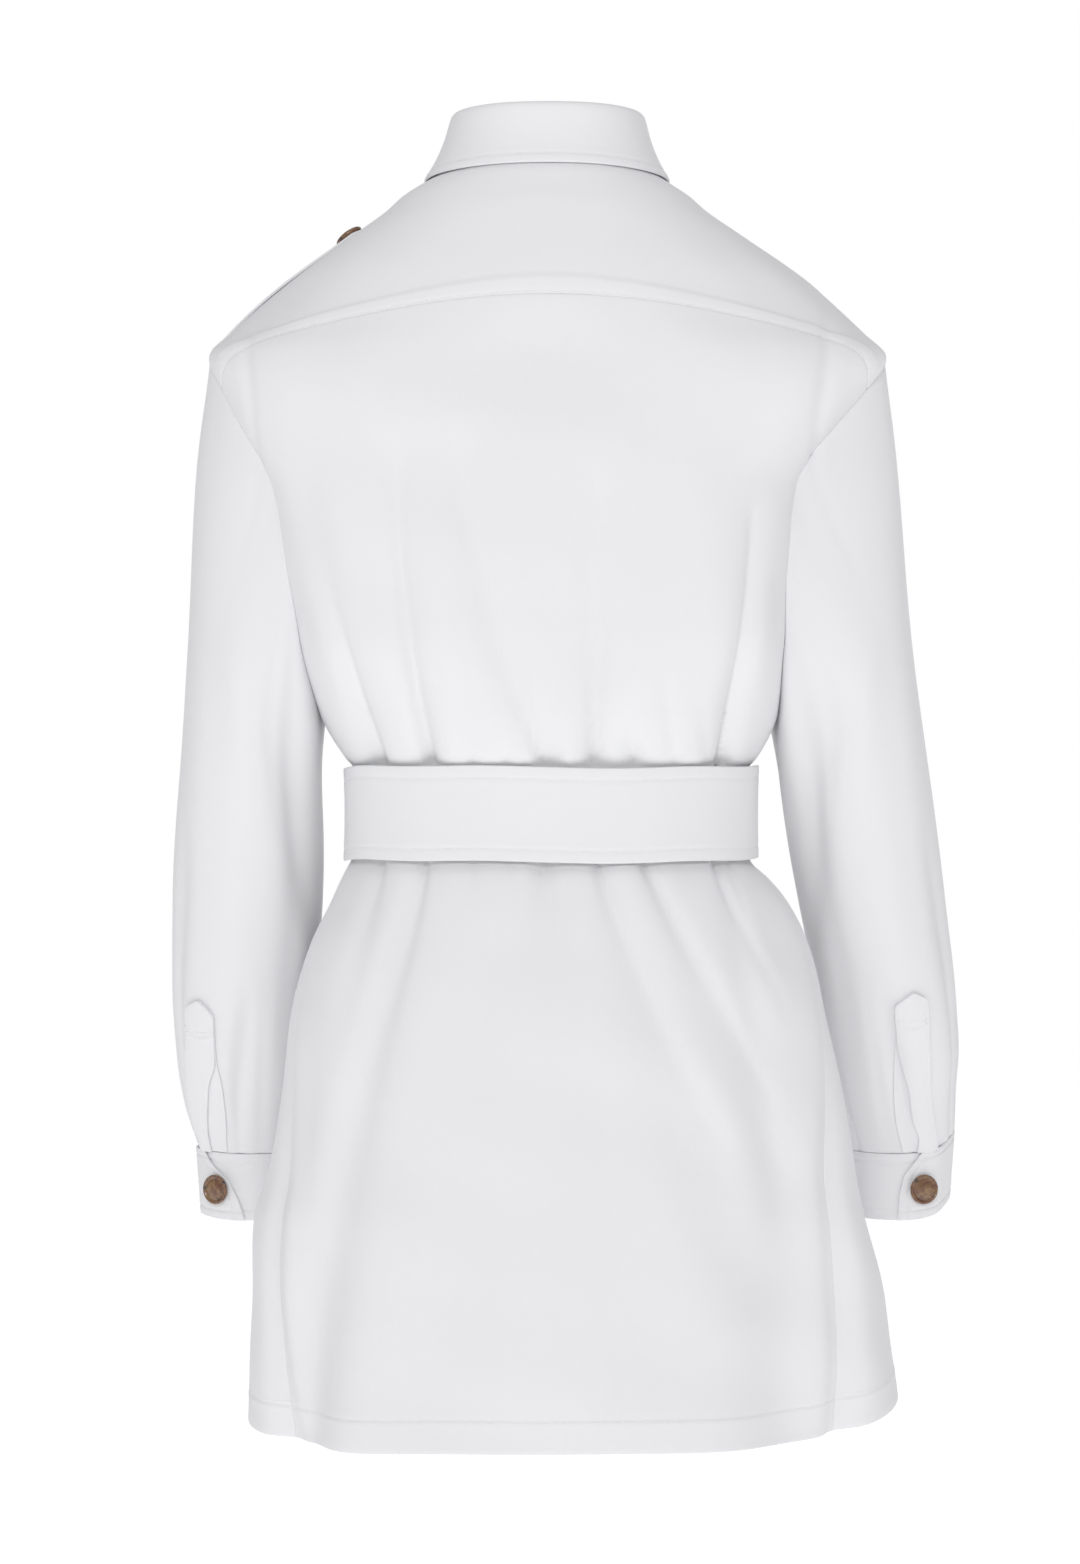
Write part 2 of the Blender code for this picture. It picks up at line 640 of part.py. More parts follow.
def stand_height(angle):
    to_front = np.maximum(-np.sin(angle), 0) ** 2
    return STAND_HEIGHT_BACK + (STAND_HEIGHT_FRONT - STAND_HEIGHT_BACK) * to_front


def stand_point(angle, share, inward):
    """The collar stand rises from the neck seam and leans in towards the neck."""
    base = body(angle, neck_height(angle))
    leaning = np.stack((1 - STAND_LEAN_ACROSS * share, 1 - STAND_LEAN_DEEP * share), axis=-1)
    flat = NECK_AXIS + (base[..., :2] - NECK_AXIS) * leaning
    flat = flat - inward * unit(base[..., :2] - NECK_AXIS)
    height = base[..., 2] + STAND_ABOVE_SEAM + stand_height(angle) * share
    return np.concatenate((flat, height[..., None]), axis=-1)


def add_collar_stand():
    angle, share = np.meshgrid(neck_angles(), (0, 0.5, 1))
    faces = [stand_point(angle, share, inward) for inward in (0, CLOTH)]
    wall("collar_stand", panel_faces(faces), make_material("stand_cloth", LINEN_WHITE, 0.85))


def fall_grid():
    """The collar's outer face: the roll over the stand, then straight lines down to its lower
    edge, which stands off the yoke at the back and lies on the fronts at the points."""
    angle = neck_angles()
    angle = CENTRE_BACK + (angle - CENTRE_BACK) * (1 - FALL_FRONT_START / math.pi)
    top = stand_point(angle, np.ones_like(angle), 0)
    out = unit(top[:, :2] - NECK_AXIS)
    rows = [np.concatenate((top[:, :2] + out * step, top[:, 2:] + rise), axis=1)
            for step, rise in ROLL]
    to_front = np.maximum(-np.sin(angle), 0) ** NECK_POWER
    lower = FALL_LOWER_BACK - FALL_DROP_FRONT * to_front
    turned = angle + np.where(np.cos(angle) >= 0, 1, -1) * FALL_POINT_SPREAD * to_front
    rest = FALL_OUT_BACK + (FALL_OUT_FRONT - FALL_OUT_BACK) * smooth(-lower / FALL_LEVEL_DROP)
    base = body(turned, lower, plain=True)
    normal = surface_normal(lambda a, h: body(a, h, True), turned, lower, ANGLE_STEP, HEIGHT_STEP)
    sideways = unit(normal * np.array((1, 1, FALL_TILT)))
    edge = base + rest[:, None] * sideways
    for share in np.linspace(0, 1, FALL_ROWS + 1)[1:]:
        rows.append(rows[len(ROLL) - 1] * (1 - share) + edge * share)
    return np.array(rows)


def grid_normal(points):
    return unit(np.cross(np.gradient(points, axis=1), np.gradient(points, axis=0)))


def add_collar_fall():
    outer = fall_grid()
    normal = grid_normal(outer)
    middle = outer.shape[1] // 2
    if normal[-1, middle, 1] < 0:
        normal = -normal
    faces = (outer, outer - FALL_CLOTH * normal)
    wall("collar_fall", faces, make_material("collar_cloth", LINEN_WHITE, 0.85))


def add_sleeves():
    for side, word in ((1, "left"), (-1, "right")):
        material = make_material(f"sleeve_cloth_{word}", LINEN_WHITE, 0.85)
        turns = np.arange(ARM_COLUMNS) * 2 * math.pi / ARM_COLUMNS
        shares = np.linspace(0, 1, SLEEVE_ROWS + 1) ** SLEEVE_ROW_POWER
        turn, share = np.meshgrid(turns, shares)
        outer, inner = sleeve_faces(side, turn, share)
        top, depth = armhole(turns)
        angle = angle_at_y(depth, top)
        angle = angle if side > 0 else math.pi - angle
        body_outer, body_inner = body_faces(angle, top)
        body_normal = unit(body_outer - body_inner)
        own_normal = unit(outer[0] - inner[0])
        along_edge = unit(np.roll(body_outer, -1, axis=0) - np.roll(body_outer, 1, axis=0))
        into = unit(np.cross(along_edge, body_normal))
        middle = body_outer.mean(axis=0)
        into *= np.sign(np.sum(into * (middle - body_outer), axis=1))[:, None]
        turned_back = -np.sum((own_normal - body_normal) * into, axis=1)
        mix = smooth(turned_back * EDGE_TURN_RATE)[:, None]
        edge_normal = unit(body_normal * (1 - mix) + own_normal * mix)
        outer[0] = body_outer + SEAM_GAP / 2 * into
        inner[0] = outer[0] - CLOTH * edge_normal
        faces = [inset(face, first=False) for face in (outer, inner)]
        wall(f"sleeve_{word}", faces, material, around=True)


def cuff_outline(side, turn, down, out):
    """A cuff's point at a turn from the outer side to the back, down from the seam."""
    columns = SLEEVES[side]
    outer = along(columns, "outer", CUFF_SEAM) - CUFF_TAPER * down
    inner = along(columns, "inner", CUFF_SEAM) + CUFF_TAPER * down
    half_depth = along(columns, "half_depth", CUFF_SEAM) - CUFF_TAPER * down
    half = (outer - inner) / 2
    normal = unit(np.stack((np.cos(turn) / half, np.sin(turn) / half_depth), axis=-1))
    x = (outer + inner) / 2 + half * np.cos(turn) + out * normal[..., 0]
    y = along(columns, "middle", CUFF_SEAM) + half_depth * np.sin(turn) + out * normal[..., 1]
    height = CUFF_SEAM - SEAM_GAP / 2 - (CUFF_HEIGHT - SEAM_GAP / 2) * down
    return np.stack((side * x, y, height + 0 * turn), axis=-1)


def cuff_lap(turn, edge):
    """How far out the upper layer lies: nothing, then a step up just before the hidden end."""
    return CUFF_LAP * smooth((turn - (edge - CUFF_UNDERLAP - CUFF_STEP_AHEAD)) / CUFF_STEP)


def add_cuffs():
    for side, word in ((1, "left"), (-1, "right")):
        material = make_material(f"cuff_cloth_{word}", LINEN_WHITE, 0.85)
        cuff = CUFFS[side]
        share, down = np.meshgrid(np.linspace(0, 1, CUFF_COLUMNS + 1), (0, 0.5, 1))
        edge = np.radians(cuff["edge_top"] + (cuff["edge_bottom"] - cuff["edge_top"]) * down)
        start = np.radians(cuff["edge_top"]) - 2 * math.pi - CUFF_UNDERLAP
        turn = start + (edge - start) * share
        lap = cuff_lap(turn, np.radians(cuff["edge_top"]))
        faces = [cuff_outline(side, turn, down, lap - inward) for inward in (0, CLOTH)]
        wall(f"cuff_{word}", faces, material)


def pointed(straight, half_width, tip, point):
    """Heights and half-widths of a strip that is straight and then comes to a point."""
    height = np.append(straight, [tip - point * left for left, _ in POINT_ROWS])
    shares = np.append(np.ones(len(straight)), [share for _, share in POINT_ROWS])
    return height, half_width * shares


def band_share(turn, height):
    top = armhole(turn)[0]
    return (height - top) / (CUFF_SEAM - top)


def add_sleeve_bands():
    """The pointed band over each sleeve's opening, on the sleeve's points."""
    for side, word in ((1, "left"), (-1, "right")):
        cuff = CUFFS[side]
        straight = np.linspace(CUFF_SEAM + BAND_ABOVE_SEAM, BAND_TOP - BAND_POINT, BAND_ROWS)
        height, half_width = pointed(straight, BAND_HALF_WIDTH, BAND_TOP, BAND_POINT)
        way = (height - height[0]) / (height[-1] - height[0])
        middle = np.radians(cuff["band_bottom"] + (cuff["band_top"] - cuff["band_bottom"]) * way)
        across = np.linspace(-1, 1, BAND_COLUMNS)[None, :]
        turn = middle[:, None] + across * half_width[:, None] / BAND_RADIUS
        share = band_share(turn, height[:, None])
        faces = sleeve_faces(side, turn, share, BAND_OUT + CLOTH)
        material = make_material(f"band_cloth_{word}", LINEN_WHITE, 0.85)
        wall(f"sleeve_placket_{word}", faces, material)


def epaulette_angle(side, across, height):
    left = angle_at_y(EPAULETTE_MIDDLE + across, height)
    return left if side > 0 else math.pi - left


def add_epaulettes():
    """Pointed tabs from the armhole along the top of the shoulder, on the yoke's points."""
    for side, word in ((1, "left"), (-1, "right")):
        straight = np.linspace(EPAULETTE_OUTER, EPAULETTE_TIP - EPAULETTE_POINT, EPAULETTE_ROWS)
        height, half_width = pointed(straight, EPAULETTE_HALF_WIDTH, EPAULETTE_TIP, EPAULETTE_POINT)
        across = np.linspace(-1, 1, EPAULETTE_COLUMNS)[None, :] * half_width[:, None]
        level = height[:, None] + 0 * across
        angle = epaulette_angle(side, across, level)
        faces = body_faces(angle, level, EPAULETTE_LIFT + CLOTH)
        material = make_material(f"epaulette_cloth_{word}", LINEN_WHITE, 0.85)
        wall(f"epaulette_{word}", faces, material)


def belt_out(turn):
    """How far the belt's outer face lies from the body: the lap steps out before it meets the
    start."""
    lap = TAIL_OUT * smooth((turn - (2 * math.pi + BELT_START - LAP_AHEAD)) / LAP_STEP)
    return BELT_OUT + BELT_CLOTH + lap


def add_belt():
    material = make_material("belt_cloth", LINEN_WHITE, 0.8)
    turns = np.linspace(BELT_START, 2 * math.pi + BELT_TAIL, BELT_COLUMNS + 1)
    turn, height = np.meshgrid(turns, np.linspace(BELT_BOTTOM, BELT_TOP, 2))
    outer, inner = body_faces(CENTRE_FRONT + turn, height, 0, BELT_CLOTH, plain=True)
    normal = (outer - inner) / BELT_CLOTH
    out = belt_out(turn)[..., None]
    wall("belt", (outer + normal * out, outer + normal * (out - BELT_CLOTH)), material)


def box_object(name, size, place, collection, material):
    """A box of the given size round a place."""
    box = bmesh.new()
    bmesh.ops.create_cube(box, size=1)
    bmesh.ops.scale(box, verts=box.verts, vec=size)
    mesh = bpy.data.meshes.new(name)
    box.to_mesh(mesh)
    box.free()
    mesh.materials.append(material)
    piece = bpy.data.objects.new(name, mesh)
    piece.location = place
    bpy.data.collections[collection].objects.link(piece)
    return piece


def add_buckle():
    """A plain frame round the belt's tail."""
    material = make_material("buckle_horn", HORN_BROWN, 0.3)
    middle = (BELT_TOP + BELT_BOTTOM) / 2
    tall = BELT_TOP - BELT_BOTTOM + 2 * BUCKLE_MARGIN
    at = body(CENTRE_FRONT + BUCKLE_TURN, middle, plain=True)
    front = at[1] - BELT_OUT - BELT_CLOTH - TAIL_OUT - SEAM_GAP - BUCKLE_GAP
    place = (at[0], front - BUCKLE_THICK / 2, middle)
    buckle = box_object("belt_buckle", (2 * BUCKLE_HALF_WIDTH, BUCKLE_THICK, tall + 2 * BUCKLE_BAR),
                        place, "safari_jacket", material)
    window = box_object("buckle_window",
                        (2 * BUCKLE_HALF_WIDTH - 2 * BUCKLE_BAR, 4 * BUCKLE_THICK, tall),
                        place, "cutters", material)
    window.hide_render = True
    window.display_type = "WIRE"
    cut = buckle.modifiers.new("Window", "BOOLEAN")
    cut.object = window
    rounding = buckle.modifiers.new("Rounding", "BEVEL")
    rounding.width = BUCKLE_ROUNDING
    rounding.segments = BUCKLE_SEGMENTS


def button_mesh(name):
    outline = bmesh.new()
    rings = [outline.verts.new((BUTTON_ACROSS / 2 * across, 0, BUTTON_THICK * up))
             for across, up in BUTTON_PROFILE]
    for above, below in zip(rings, rings[1:]):
        outline.edges.new((above, below))
    mesh = bpy.data.meshes.new(name)
    outline.to_mesh(mesh)
    outline.free()
    return mesh


def add_button(name, place, normal, material):
    """A turned button whose back lies at place and whose face looks along normal."""
    button = add(name, button_mesh(name), material)
    turned = button.modifiers.new("Turned", "SCREW")
    turned.steps = BUTTON_SIDES
    turned.render_steps = BUTTON_SIDES
    turned.use_merge_vertices = True
    turned.merge_threshold = MERGE_WITHIN
    rotation = Vector((0, 0, 1)).rotation_difference(Vector(normal)).to_matrix().to_4x4()
    button.matrix_world = Matrix.Translation(Vector(place)) @ rotation


def add_buttons():
    material = make_material("button_horn", HORN_BROWN, 0.25)
    for number, level in enumerate(FRONT_BUTTONS, 1):
        out = SEAM_GAP + CLOTH + BUTTON_SEAT
        outer, inner = front_point(np.float64(0.0), np.float64(level * MM), out, CLOTH)
        add_button(f"front_button_{number}", outer, unit(outer - inner), material)
    for side, word in ((1, "left"), (-1, "right")):
        level = np.float64(EPAULETTE_BUTTON)
        angle = epaulette_angle(side, np.float64(0.0), level)
        outer, inner = body_faces(angle, level, EPAULETTE_LIFT + CLOTH + 2 * BUTTON_SEAT)
        add_button(f"epaulette_button_{word}", outer, unit(outer - inner), material)
        turn = np.radians(np.float64(CUFFS[side]["button"]))
        outer = cuff_outline(side, turn, CUFF_BUTTON_DOWN, CUFF_LAP + 2 * BUTTON_SEAT)
        inner = cuff_outline(side, turn, CUFF_BUTTON_DOWN, 0)
        add_button(f"cuff_button_{word}", outer, unit(outer - inner), material)


def main():
    for old in list(bpy.data.objects):
        bpy.data.objects.remove(old)
    for name in ("safari_jacket", "cutters"):
        bpy.context.scene.collection.children.link(bpy.data.collections.new(name))
    add_body_panels()
    add_placket()
    add_collar_stand()
    add_collar_fall()
    add_sleeves()
    add_cuffs()
    add_sleeve_bands()
    add_epaulettes()
    add_belt()
    add_buckle()
    add_buttons()


main()
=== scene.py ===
"""The safari jacket's cloth, stitching, buttons, buckle and stage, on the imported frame.

Lengths are in metres, the front faces -Y, the wearer's left is +X and +Z is up. The origin is the
middle of the neck. The body is one surface, given by the angle round the wearer (0 at the left
side, a quarter turn at the back) and the height. A sleeve is a second surface, given by the turn
round the arm and the share of the way from the armhole to the cuff.
"""

import math

import bpy
import numpy as np
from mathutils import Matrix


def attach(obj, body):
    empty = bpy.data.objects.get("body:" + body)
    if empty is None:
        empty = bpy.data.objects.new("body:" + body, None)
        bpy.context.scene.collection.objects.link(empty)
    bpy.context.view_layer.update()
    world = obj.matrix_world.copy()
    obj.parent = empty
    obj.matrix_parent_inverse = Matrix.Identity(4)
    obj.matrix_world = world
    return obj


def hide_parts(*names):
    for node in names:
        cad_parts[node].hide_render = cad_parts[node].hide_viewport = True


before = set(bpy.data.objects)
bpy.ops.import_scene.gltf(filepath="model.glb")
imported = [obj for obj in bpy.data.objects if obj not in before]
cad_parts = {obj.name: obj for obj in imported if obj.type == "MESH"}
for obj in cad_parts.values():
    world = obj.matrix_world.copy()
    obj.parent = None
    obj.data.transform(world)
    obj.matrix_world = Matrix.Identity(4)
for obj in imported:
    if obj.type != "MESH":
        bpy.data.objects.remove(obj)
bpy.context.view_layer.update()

bl_info = {
    "name": "Safari jacket",
    "version": (1, 0, 0),
    "blender": (4, 5, 0),
    "location": "3D View > Sidebar > Jacket",
    "description": "Builds a belted safari jacket's cloth, trim and stage on its packed frame",
    "category": "Object",
}

MM = 0.001
ROOT = "root"

# Body
BACK_LENGTH = 0.779
CLOTH = 1.6 * MM
UNDERBAND_CLOTH = 0.6 * CLOTH
SEAM_GAP = 0.3 * MM
SEAM_OPEN = 0.06 * MM
EDGE_ROUNDING = 0.46
SEAM_DEPTH = 0.35 * MM
SEAM_WIDTH = 0.8 * MM
BELT_TOP = -0.3705
BELT_BOTTOM = -0.4285
BELT_CLOTH = 2.0 * MM
PLACKET_WIDTH = 30 * MM
SHOULDER_TIP = -0.115
UNDERARM = -0.338
ARMHOLE_HALF_DEPTH = 0.060
ARMHOLE_ARC = 0.232
LOWER_TALL = BACK_LENGTH + UNDERARM
LOWER_SHARE = LOWER_TALL / (LOWER_TALL + ARMHOLE_ARC)
YOKE_TURN = math.radians(36)
YOKE_CORNER = 1 / 11
YOKE_AT_CENTRE_BACK = -0.084
YOKE_BOW = 0.65
YOKE_RAISED = 0.9 * MM
YOKE_STEP = 4.5 * MM
YOKE_STEP_FADE = 0.11
YOKE_NECK_ANGLE = math.radians(-26)
NECK_DROP = 0.060
NECK_POWER = 4.5
NECK_FROM = 5 / 13
CENTRE_BACK = math.pi / 2
CENTRE_FRONT = -math.pi / 2
BACK_SQUARENESS = 2 / 2.3
ARMHOLE_SQUARENESS = 0.6
FRONT_SQUARENESS = 1.0
ANGLE_STEP = 0.006
HEIGHT_STEP = 0.6 * MM


def table(columns, rows):
    """Named columns of a table written in millimetres, in metres, lowest row first."""
    ordered = np.array(sorted(rows), float) * MM
    return dict(zip(columns.split(), ordered.T))


# The body's outline at each height: half-widths to the wearer's left and right, depths to the back
# and the front, and how far behind the origin the widest line lies
BODY = table("height left right back front centre", [
    (12, 66, 66, 64, 48, 0),
    (0, 70, 70, 66, 52, 0),
    (-6, 80, 78, 69, 55, 0),
    (-13.5, 92, 89.5, 72, 58, 0),
    (-23.5, 103, 101, 76.5, 62.5, 0),
    (-38.5, 124, 123, 81, 68, 0),
    (-69, 165.5, 167, 90, 80, 0),
    (-101.5, 200, 199.5, 97, 92, 0),
    (-115, 212, 211, 100, 96, 0),
    (-138, 204, 198, 104, 101, 0),
    (-153, 198, 187, 106, 104, 0),
    (-175, 187, 170, 108, 108, 0),
    (-197, 177, 158, 110, 111, 0),
    (-243, 167, 153, 112, 114, 0),
    (-286, 158, 150, 111, 112, 0),
    (-305, 153, 147, 109, 109, 0),
    (-338, 143, 144, 104, 104, 0),
    (-352, 136, 139, 100, 99.5, 0),
    (-361, 130, 134, 96.5, 96.5, 0),
    (-366, 126.5, 130.5, 93.5, 94, 0),
    (-369, 123, 127, 87, 88, 0),
    (-430, 123, 127, 88, 89, 0),
    (-433, 125, 130, 92.5, 93.5, 1.5),
    (-438, 127.5, 136, 95, 96, 3),
    (-454, 135, 149, 99, 99.5, 8),
    (-480, 149, 162, 104, 104, 12),
    (-505, 156, 170, 109, 108, 15),
    (-536, 162, 176, 114, 112, 18),
    (-580, 167, 185, 119, 117, 20),
    (-624, 175, 192, 124, 121, 20),
    (-650, 182, 198, 127, 124, 18),
    (-706, 186, 211, 132, 129, 8),
    (-785, 188, 222, 138, 135, 0),
])

# Folds and creases that hang from the gathered waist. Each runs from its top to its bottom height
# through three places across; a negative depth is a trough, and a lean makes one flank steeper.
# Face +1 is the back, -1 the front.
FOLD_COLUMNS = ("face top bottom x_top x_middle x_bottom depth_top depth_bottom wide_top "
                "wide_bottom lean")
FOLDS = [dict(zip(FOLD_COLUMNS.split(), row)) for row in [
    (1, -215, -369, 146, 128, 106, -0.8, -5.6, 18, 12, 0),
    (1, -190, -369, 93, 91, 74, -2.2, -5.4, 12, 9, 0.5),
    (1, -190, -369, 52, 30, 2, -2.0, -5.6, 13, 9, -0.5),
    (1, -270, -369, 34, 22, 13, 0, 3.0, 12, 9, 0),
    (1, -200, -369, -24, -26, -27, -1.6, -4.4, 10, 8, 0.4),
    (1, -335, -369, -44, -47, -52, 0, -3.0, 9, 7, 0),
    (1, -230, -369, -126, -120, -108, -2.6, -6.0, 15, 11, 0),
    (1, -120, -330, 6, 4, 4, -1.6, 0, 34, 30, 0),
    (1, -430, -560, 104, 118, 132, -3, 0, 8, 14, 0),
    (1, -430, -777, 77, 130, 150, -4, -11, 8, 30, 0),
    (1, -430, -500, 2, 1, 0, -4, 0, 7, 12, 0),
    (1, -430, -777, 20, 12, 6, 1, 7, 12, 34, 0),
    (1, -430, -680, -34, -72, -126, -3.5, -3, 9, 24, -0.4),
    (1, -430, -620, -62, -104, -150, -3.5, -2, 8, 18, -0.4),
    (1, -430, -777, -105, -150, -150, -3.5, -2, 8, 30, 0),
    (-1, -200, -369, 92, 86, 78, 0, -5, 14, 8, 0),
    (-1, -240, -369, 60, 55, 44, 0, -4, 12, 7, 0),
    (-1, -190, -369, -70, -66, -52, 0, -5, 13, 8, 0),
    (-1, -250, -369, -112, -108, -96, 0, -5, 14, 9, 0),
    (-1, -430, -777, 50, 84, 104, -5, -7, 8, 26, 0),
    (-1, -430, -600, 88, 104, 122, -4, 0, 8, 16, 0),
    (-1, -430, -777, -46, -80, -104, -5, -8, 8, 28, 0),
    (-1, -430, -620, -92, -112, -132, -4, 0, 8, 16, 0),
    # Drape beside the armholes
    (1, -118, -240, 185, 179, 171, -1.8, -0.4, 8, 8, 0),
    (1, -112, -330, -172, -157, -147, -2.2, -0.4, 8, 8, 0),
    (1, -150, -290, 160, 154, 150, 0.8, 0, 18, 18, 0),
    (1, -130, -290, -150, -142, -136, 0.8, 0, 18, 18, 0),
    # Finer creases, back above the belt
    (1, -205, -369, 94, 91, 75, -1.4, -3.6, 4.6, 3.0, 0.8),
    (1, -270, -369, 84, 80, 71, -0.2, -2.2, 5, 3.0, -0.6),
    (1, -195, -369, 52, 33, 3, -1.4, -4.0, 4.6, 2.8, -0.8),
    (1, -250, -369, 32, 22, 9, 0.4, 2.8, 6, 3.2, 0.5),
    (1, -215, -369, -25, -26, -27, -1.5, -4.0, 4.2, 2.8, 0.8),
    (1, -290, -369, -8, -10, -12, 0, 1.8, 6, 3.4, 0),
    (1, -340, -369, -47, -50, -53, 0, -3.0, 4.5, 2.8, 0),
    (1, -300, -369, -66, -72, -76, 0, -1.8, 6, 3.6, 0.4),
    (1, -240, -369, -124, -120, -108, -1.2, -3.6, 5, 3.2, 0.6),
    (1, -330, -369, -92, -95, -98, 0, -2.4, 6, 3.2, 0),
    (1, -340, -369, 50, 49, 46, 0, -2.2, 5, 3.2, 0),
    (1, -250, -369, 136, 124, 104, 0, -3.0, 6, 3.4, 0.5),
    (1, -350, -369, 24, 25, 25, 0, -2.4, 5, 3, 0),
    (1, -352, -369, -4, -4, -4, 0, -2.0, 4, 3, 0),
    (1, -120, -210, 14, 22, 34, -1.2, 0, 10, 10, 0),
    (1, -120, -210, -10, -18, -28, -1.2, 0, 10, 10, 0),
    (1, -160, -290, -60, -62, -64, -1.2, -0.6, 12, 12, 0),
    # Back below the belt
    (1, -430, -540, 77, 86, 106, -2.8, -0.5, 3.2, 8, 0.6),
    (1, -430, -490, 104, 108, 118, -2.2, 0, 3.6, 8, 0),
    (1, -430, -478, 2.5, 2, 0, -3.6, 0, 3.2, 6, 0),
    (1, -430, -600, -32, -60, -108, -3.0, -1.2, 3.2, 9, -0.8),
    (1, -430, -575, -60, -98, -142, -3.0, -1.0, 3.2, 9, -0.8),
    (1, -430, -520, -104, -122, -148, -3.0, -0.4, 3.2, 8, -0.6),
    (1, -430, -480, -112, -119, -130, -1.8, 0, 3, 5, 0),
    (1, -430, -470, 46, 48, 52, -1.6, 0, 4, 8, 0),
    (1, -430, -465, -14, -14, -16, -1.3, 0, 4, 7, 0),
    (1, -430, -465, 24, 25, 27, -1.2, 0, 4, 7, 0),
    (1, -560, -777, 112, 118, 122, 0, 3, 22, 26, 0),
    (1, -500, -777, -146, -152, -158, 0, -20, 30, 46, 0),
    (1, -490, -777, 146, 150, 154, 0, -5, 14, 18, 0),
    # Front
    (-1, -300, -369, 92, 88, 78, 0, -2.2, 6, 3, 0.6),
    (-1, -320, -369, 58, 54, 45, 0, -2.0, 5, 3, -0.5),
    (-1, -310, -369, -70, -64, -52, 0, -2.2, 6, 3, 0.6),
    (-1, -330, -369, -108, -104, -97, 0, -2.0, 6, 3, 0),
    (-1, -345, -369, 104, 104, 103, 0, -1.6, 5, 3, 0),
    (-1, -340, -369, -30, -29, -28, 0, -1.5, 5, 3, 0),
    (-1, -120, -260, 96, 88, 84, -1.6, 0, 20, 26, 0),
    (-1, -120, -250, -98, -92, -84, -1.6, 0, 20, 26, 0),
    (-1, -430, -520, 50, 56, 66, -2.4, 0, 3.4, 8, 0.5),
    (-1, -430, -500, 88, 94, 102, -2.2, 0, 3.4, 8, 0),
    (-1, -430, -520, -46, -54, -64, -2.4, 0, 3.4, 8, -0.5),
    (-1, -430, -500, -92, -98, -106, -2.2, 0, 3.4, 8, 0),
    (-1, -430, -480, 70, 73, 78, -1.4, 0, 3, 6, 0),
    (-1, -430, -480, -70, -74, -80, -1.4, 0, 3, 6, 0),
]]
FREE_FADE = 36 * MM
BELT_FADE = 5 * MM
ABOVE_BELT = -369
BELOW_BELT = -430

# Slow waves that keep hanging cloth from being even: waves round the body, waves per metre of
# height, phase, and depth in millimetres
DRAPE = ((7, 9, 0.3, 0.45), (11, -6, 1.9, 0.30), (17, 4, 4.0, 0.20), (5, 14, 2.6, 0.35))

# The side seams swing to the back below the waist and lie in a trough at the hem
SIDE_SEAM = table("height angle trough", [
    (-338, 0, 0), (-440, 90, 0), (-540, 270, 2), (-620, 440, 5), (-785, 600, 10),
])
SIDE_TROUGH_WIDTH = 13 * MM
SIDE_SEAM_LEFT = 0.86
HEM_LIFT_RIGHT = 14 * MM
HEM_LIFT_SPREAD = 0.6
HEM_LIFT_START = -0.62
HEM_CORNER_DROP = 4 * MM

# The sleeves at each height: outer and inner edge from the middle plane, the middle's place in
# depth and half the depth
SLEEVE_COLUMNS = "height outer inner middle half_depth"
SLEEVES = {
    1: table(SLEEVE_COLUMNS, [
        (-115, 213, 165, 0, 50), (-200, 222, 152, 0, 62), (-300, 228, 144, -6, 62),
        (-354, 231, 143, -12, 60), (-454, 239, 144, -32, 56), (-517, 241, 148, -47, 52),
        (-560, 239, 151, -58, 47), (-590, 235, 154, -66, 42), (-618, 227, 158, -73, 36),
    ]),
    -1: table(SLEEVE_COLUMNS, [
        (-115, 212, 163, 0, 50), (-200, 221, 148, 0, 62), (-300, 231, 146, -6, 62),
        (-354, 238, 146, -12, 60), (-454, 253, 160, -32, 56), (-517, 262, 172, -47, 52),
        (-560, 265, 179, -58, 47), (-590, 264, 186, -66, 42), (-618, 264, 195, -73, 36),
    ]),
}
SIDES = ((1, "left"), (-1, "right"))
CUFF_SEAM = -0.618
CUFF_HEIGHT = 43 * MM
CUFF_TAPER = 3 * MM
CUFF_LAP = 2.1 * MM
CUFF_UNDERLAP = math.radians(6)
CUFF_STEP = math.radians(24)
ARMHOLE_BLEND = 0.28
SLEEVE_RADIUS = 0.055
SLEEVE_SIDES = 160
HOLE_BLEND = 8 * MM

# Folds along the sleeves, by turn round the arm in degrees and share of the way down
SLEEVE_FOLD_COLUMNS = "turn_top turn_bottom top bottom depth wide"
SLEEVE_FOLDS = [dict(zip(SLEEVE_FOLD_COLUMNS.split(), row)) for row in [
    (118, 150, 0.02, 0.55, -5, 15),
    (-110, -150, 0.03, 0.50, -5, 15),
    (35, 20, 0.55, 0.98, -3, 10),
    (100, 84, 0.70, 1.00, -4, 8),
    (-60, -40, 0.62, 1.00, -4, 10),
    (-120, -100, 0.74, 1.00, -3, 9),
    # Finer creases
    (96, 118, 0.02, 0.40, -1.4, 7),
    (74, 92, 0.05, 0.48, 1.6, 12),
    (60, 66, 0.20, 0.85, -1.3, 12),
    (136, 128, 0.28, 0.86, -1.6, 10),
    (112, 104, 0.66, 1.04, -1.2, 6),
    (90, 80, 0.80, 1.06, -0.9, 4.5),
    (26, 30, 0.74, 1.06, -1.6, 4),
    (12, 10, 0.80, 1.06, -1.4, 3.5),
    (-12, -16, 0.78, 1.06, -1.6, 4),
    (-60, -40, 0.82, 1.06, -1.5, 4),
    (-90, -76, 0.80, 1.06, -1.5, 4),
    (-140, -132, 0.76, 1.06, -1.5, 4.5),
    (150, 146, 0.80, 1.06, -1.4, 4),
    (-80, -100, 0.02, 0.42, -1.4, 7),
    (-50, -62, 0.10, 0.60, 1.4, 12),
]]

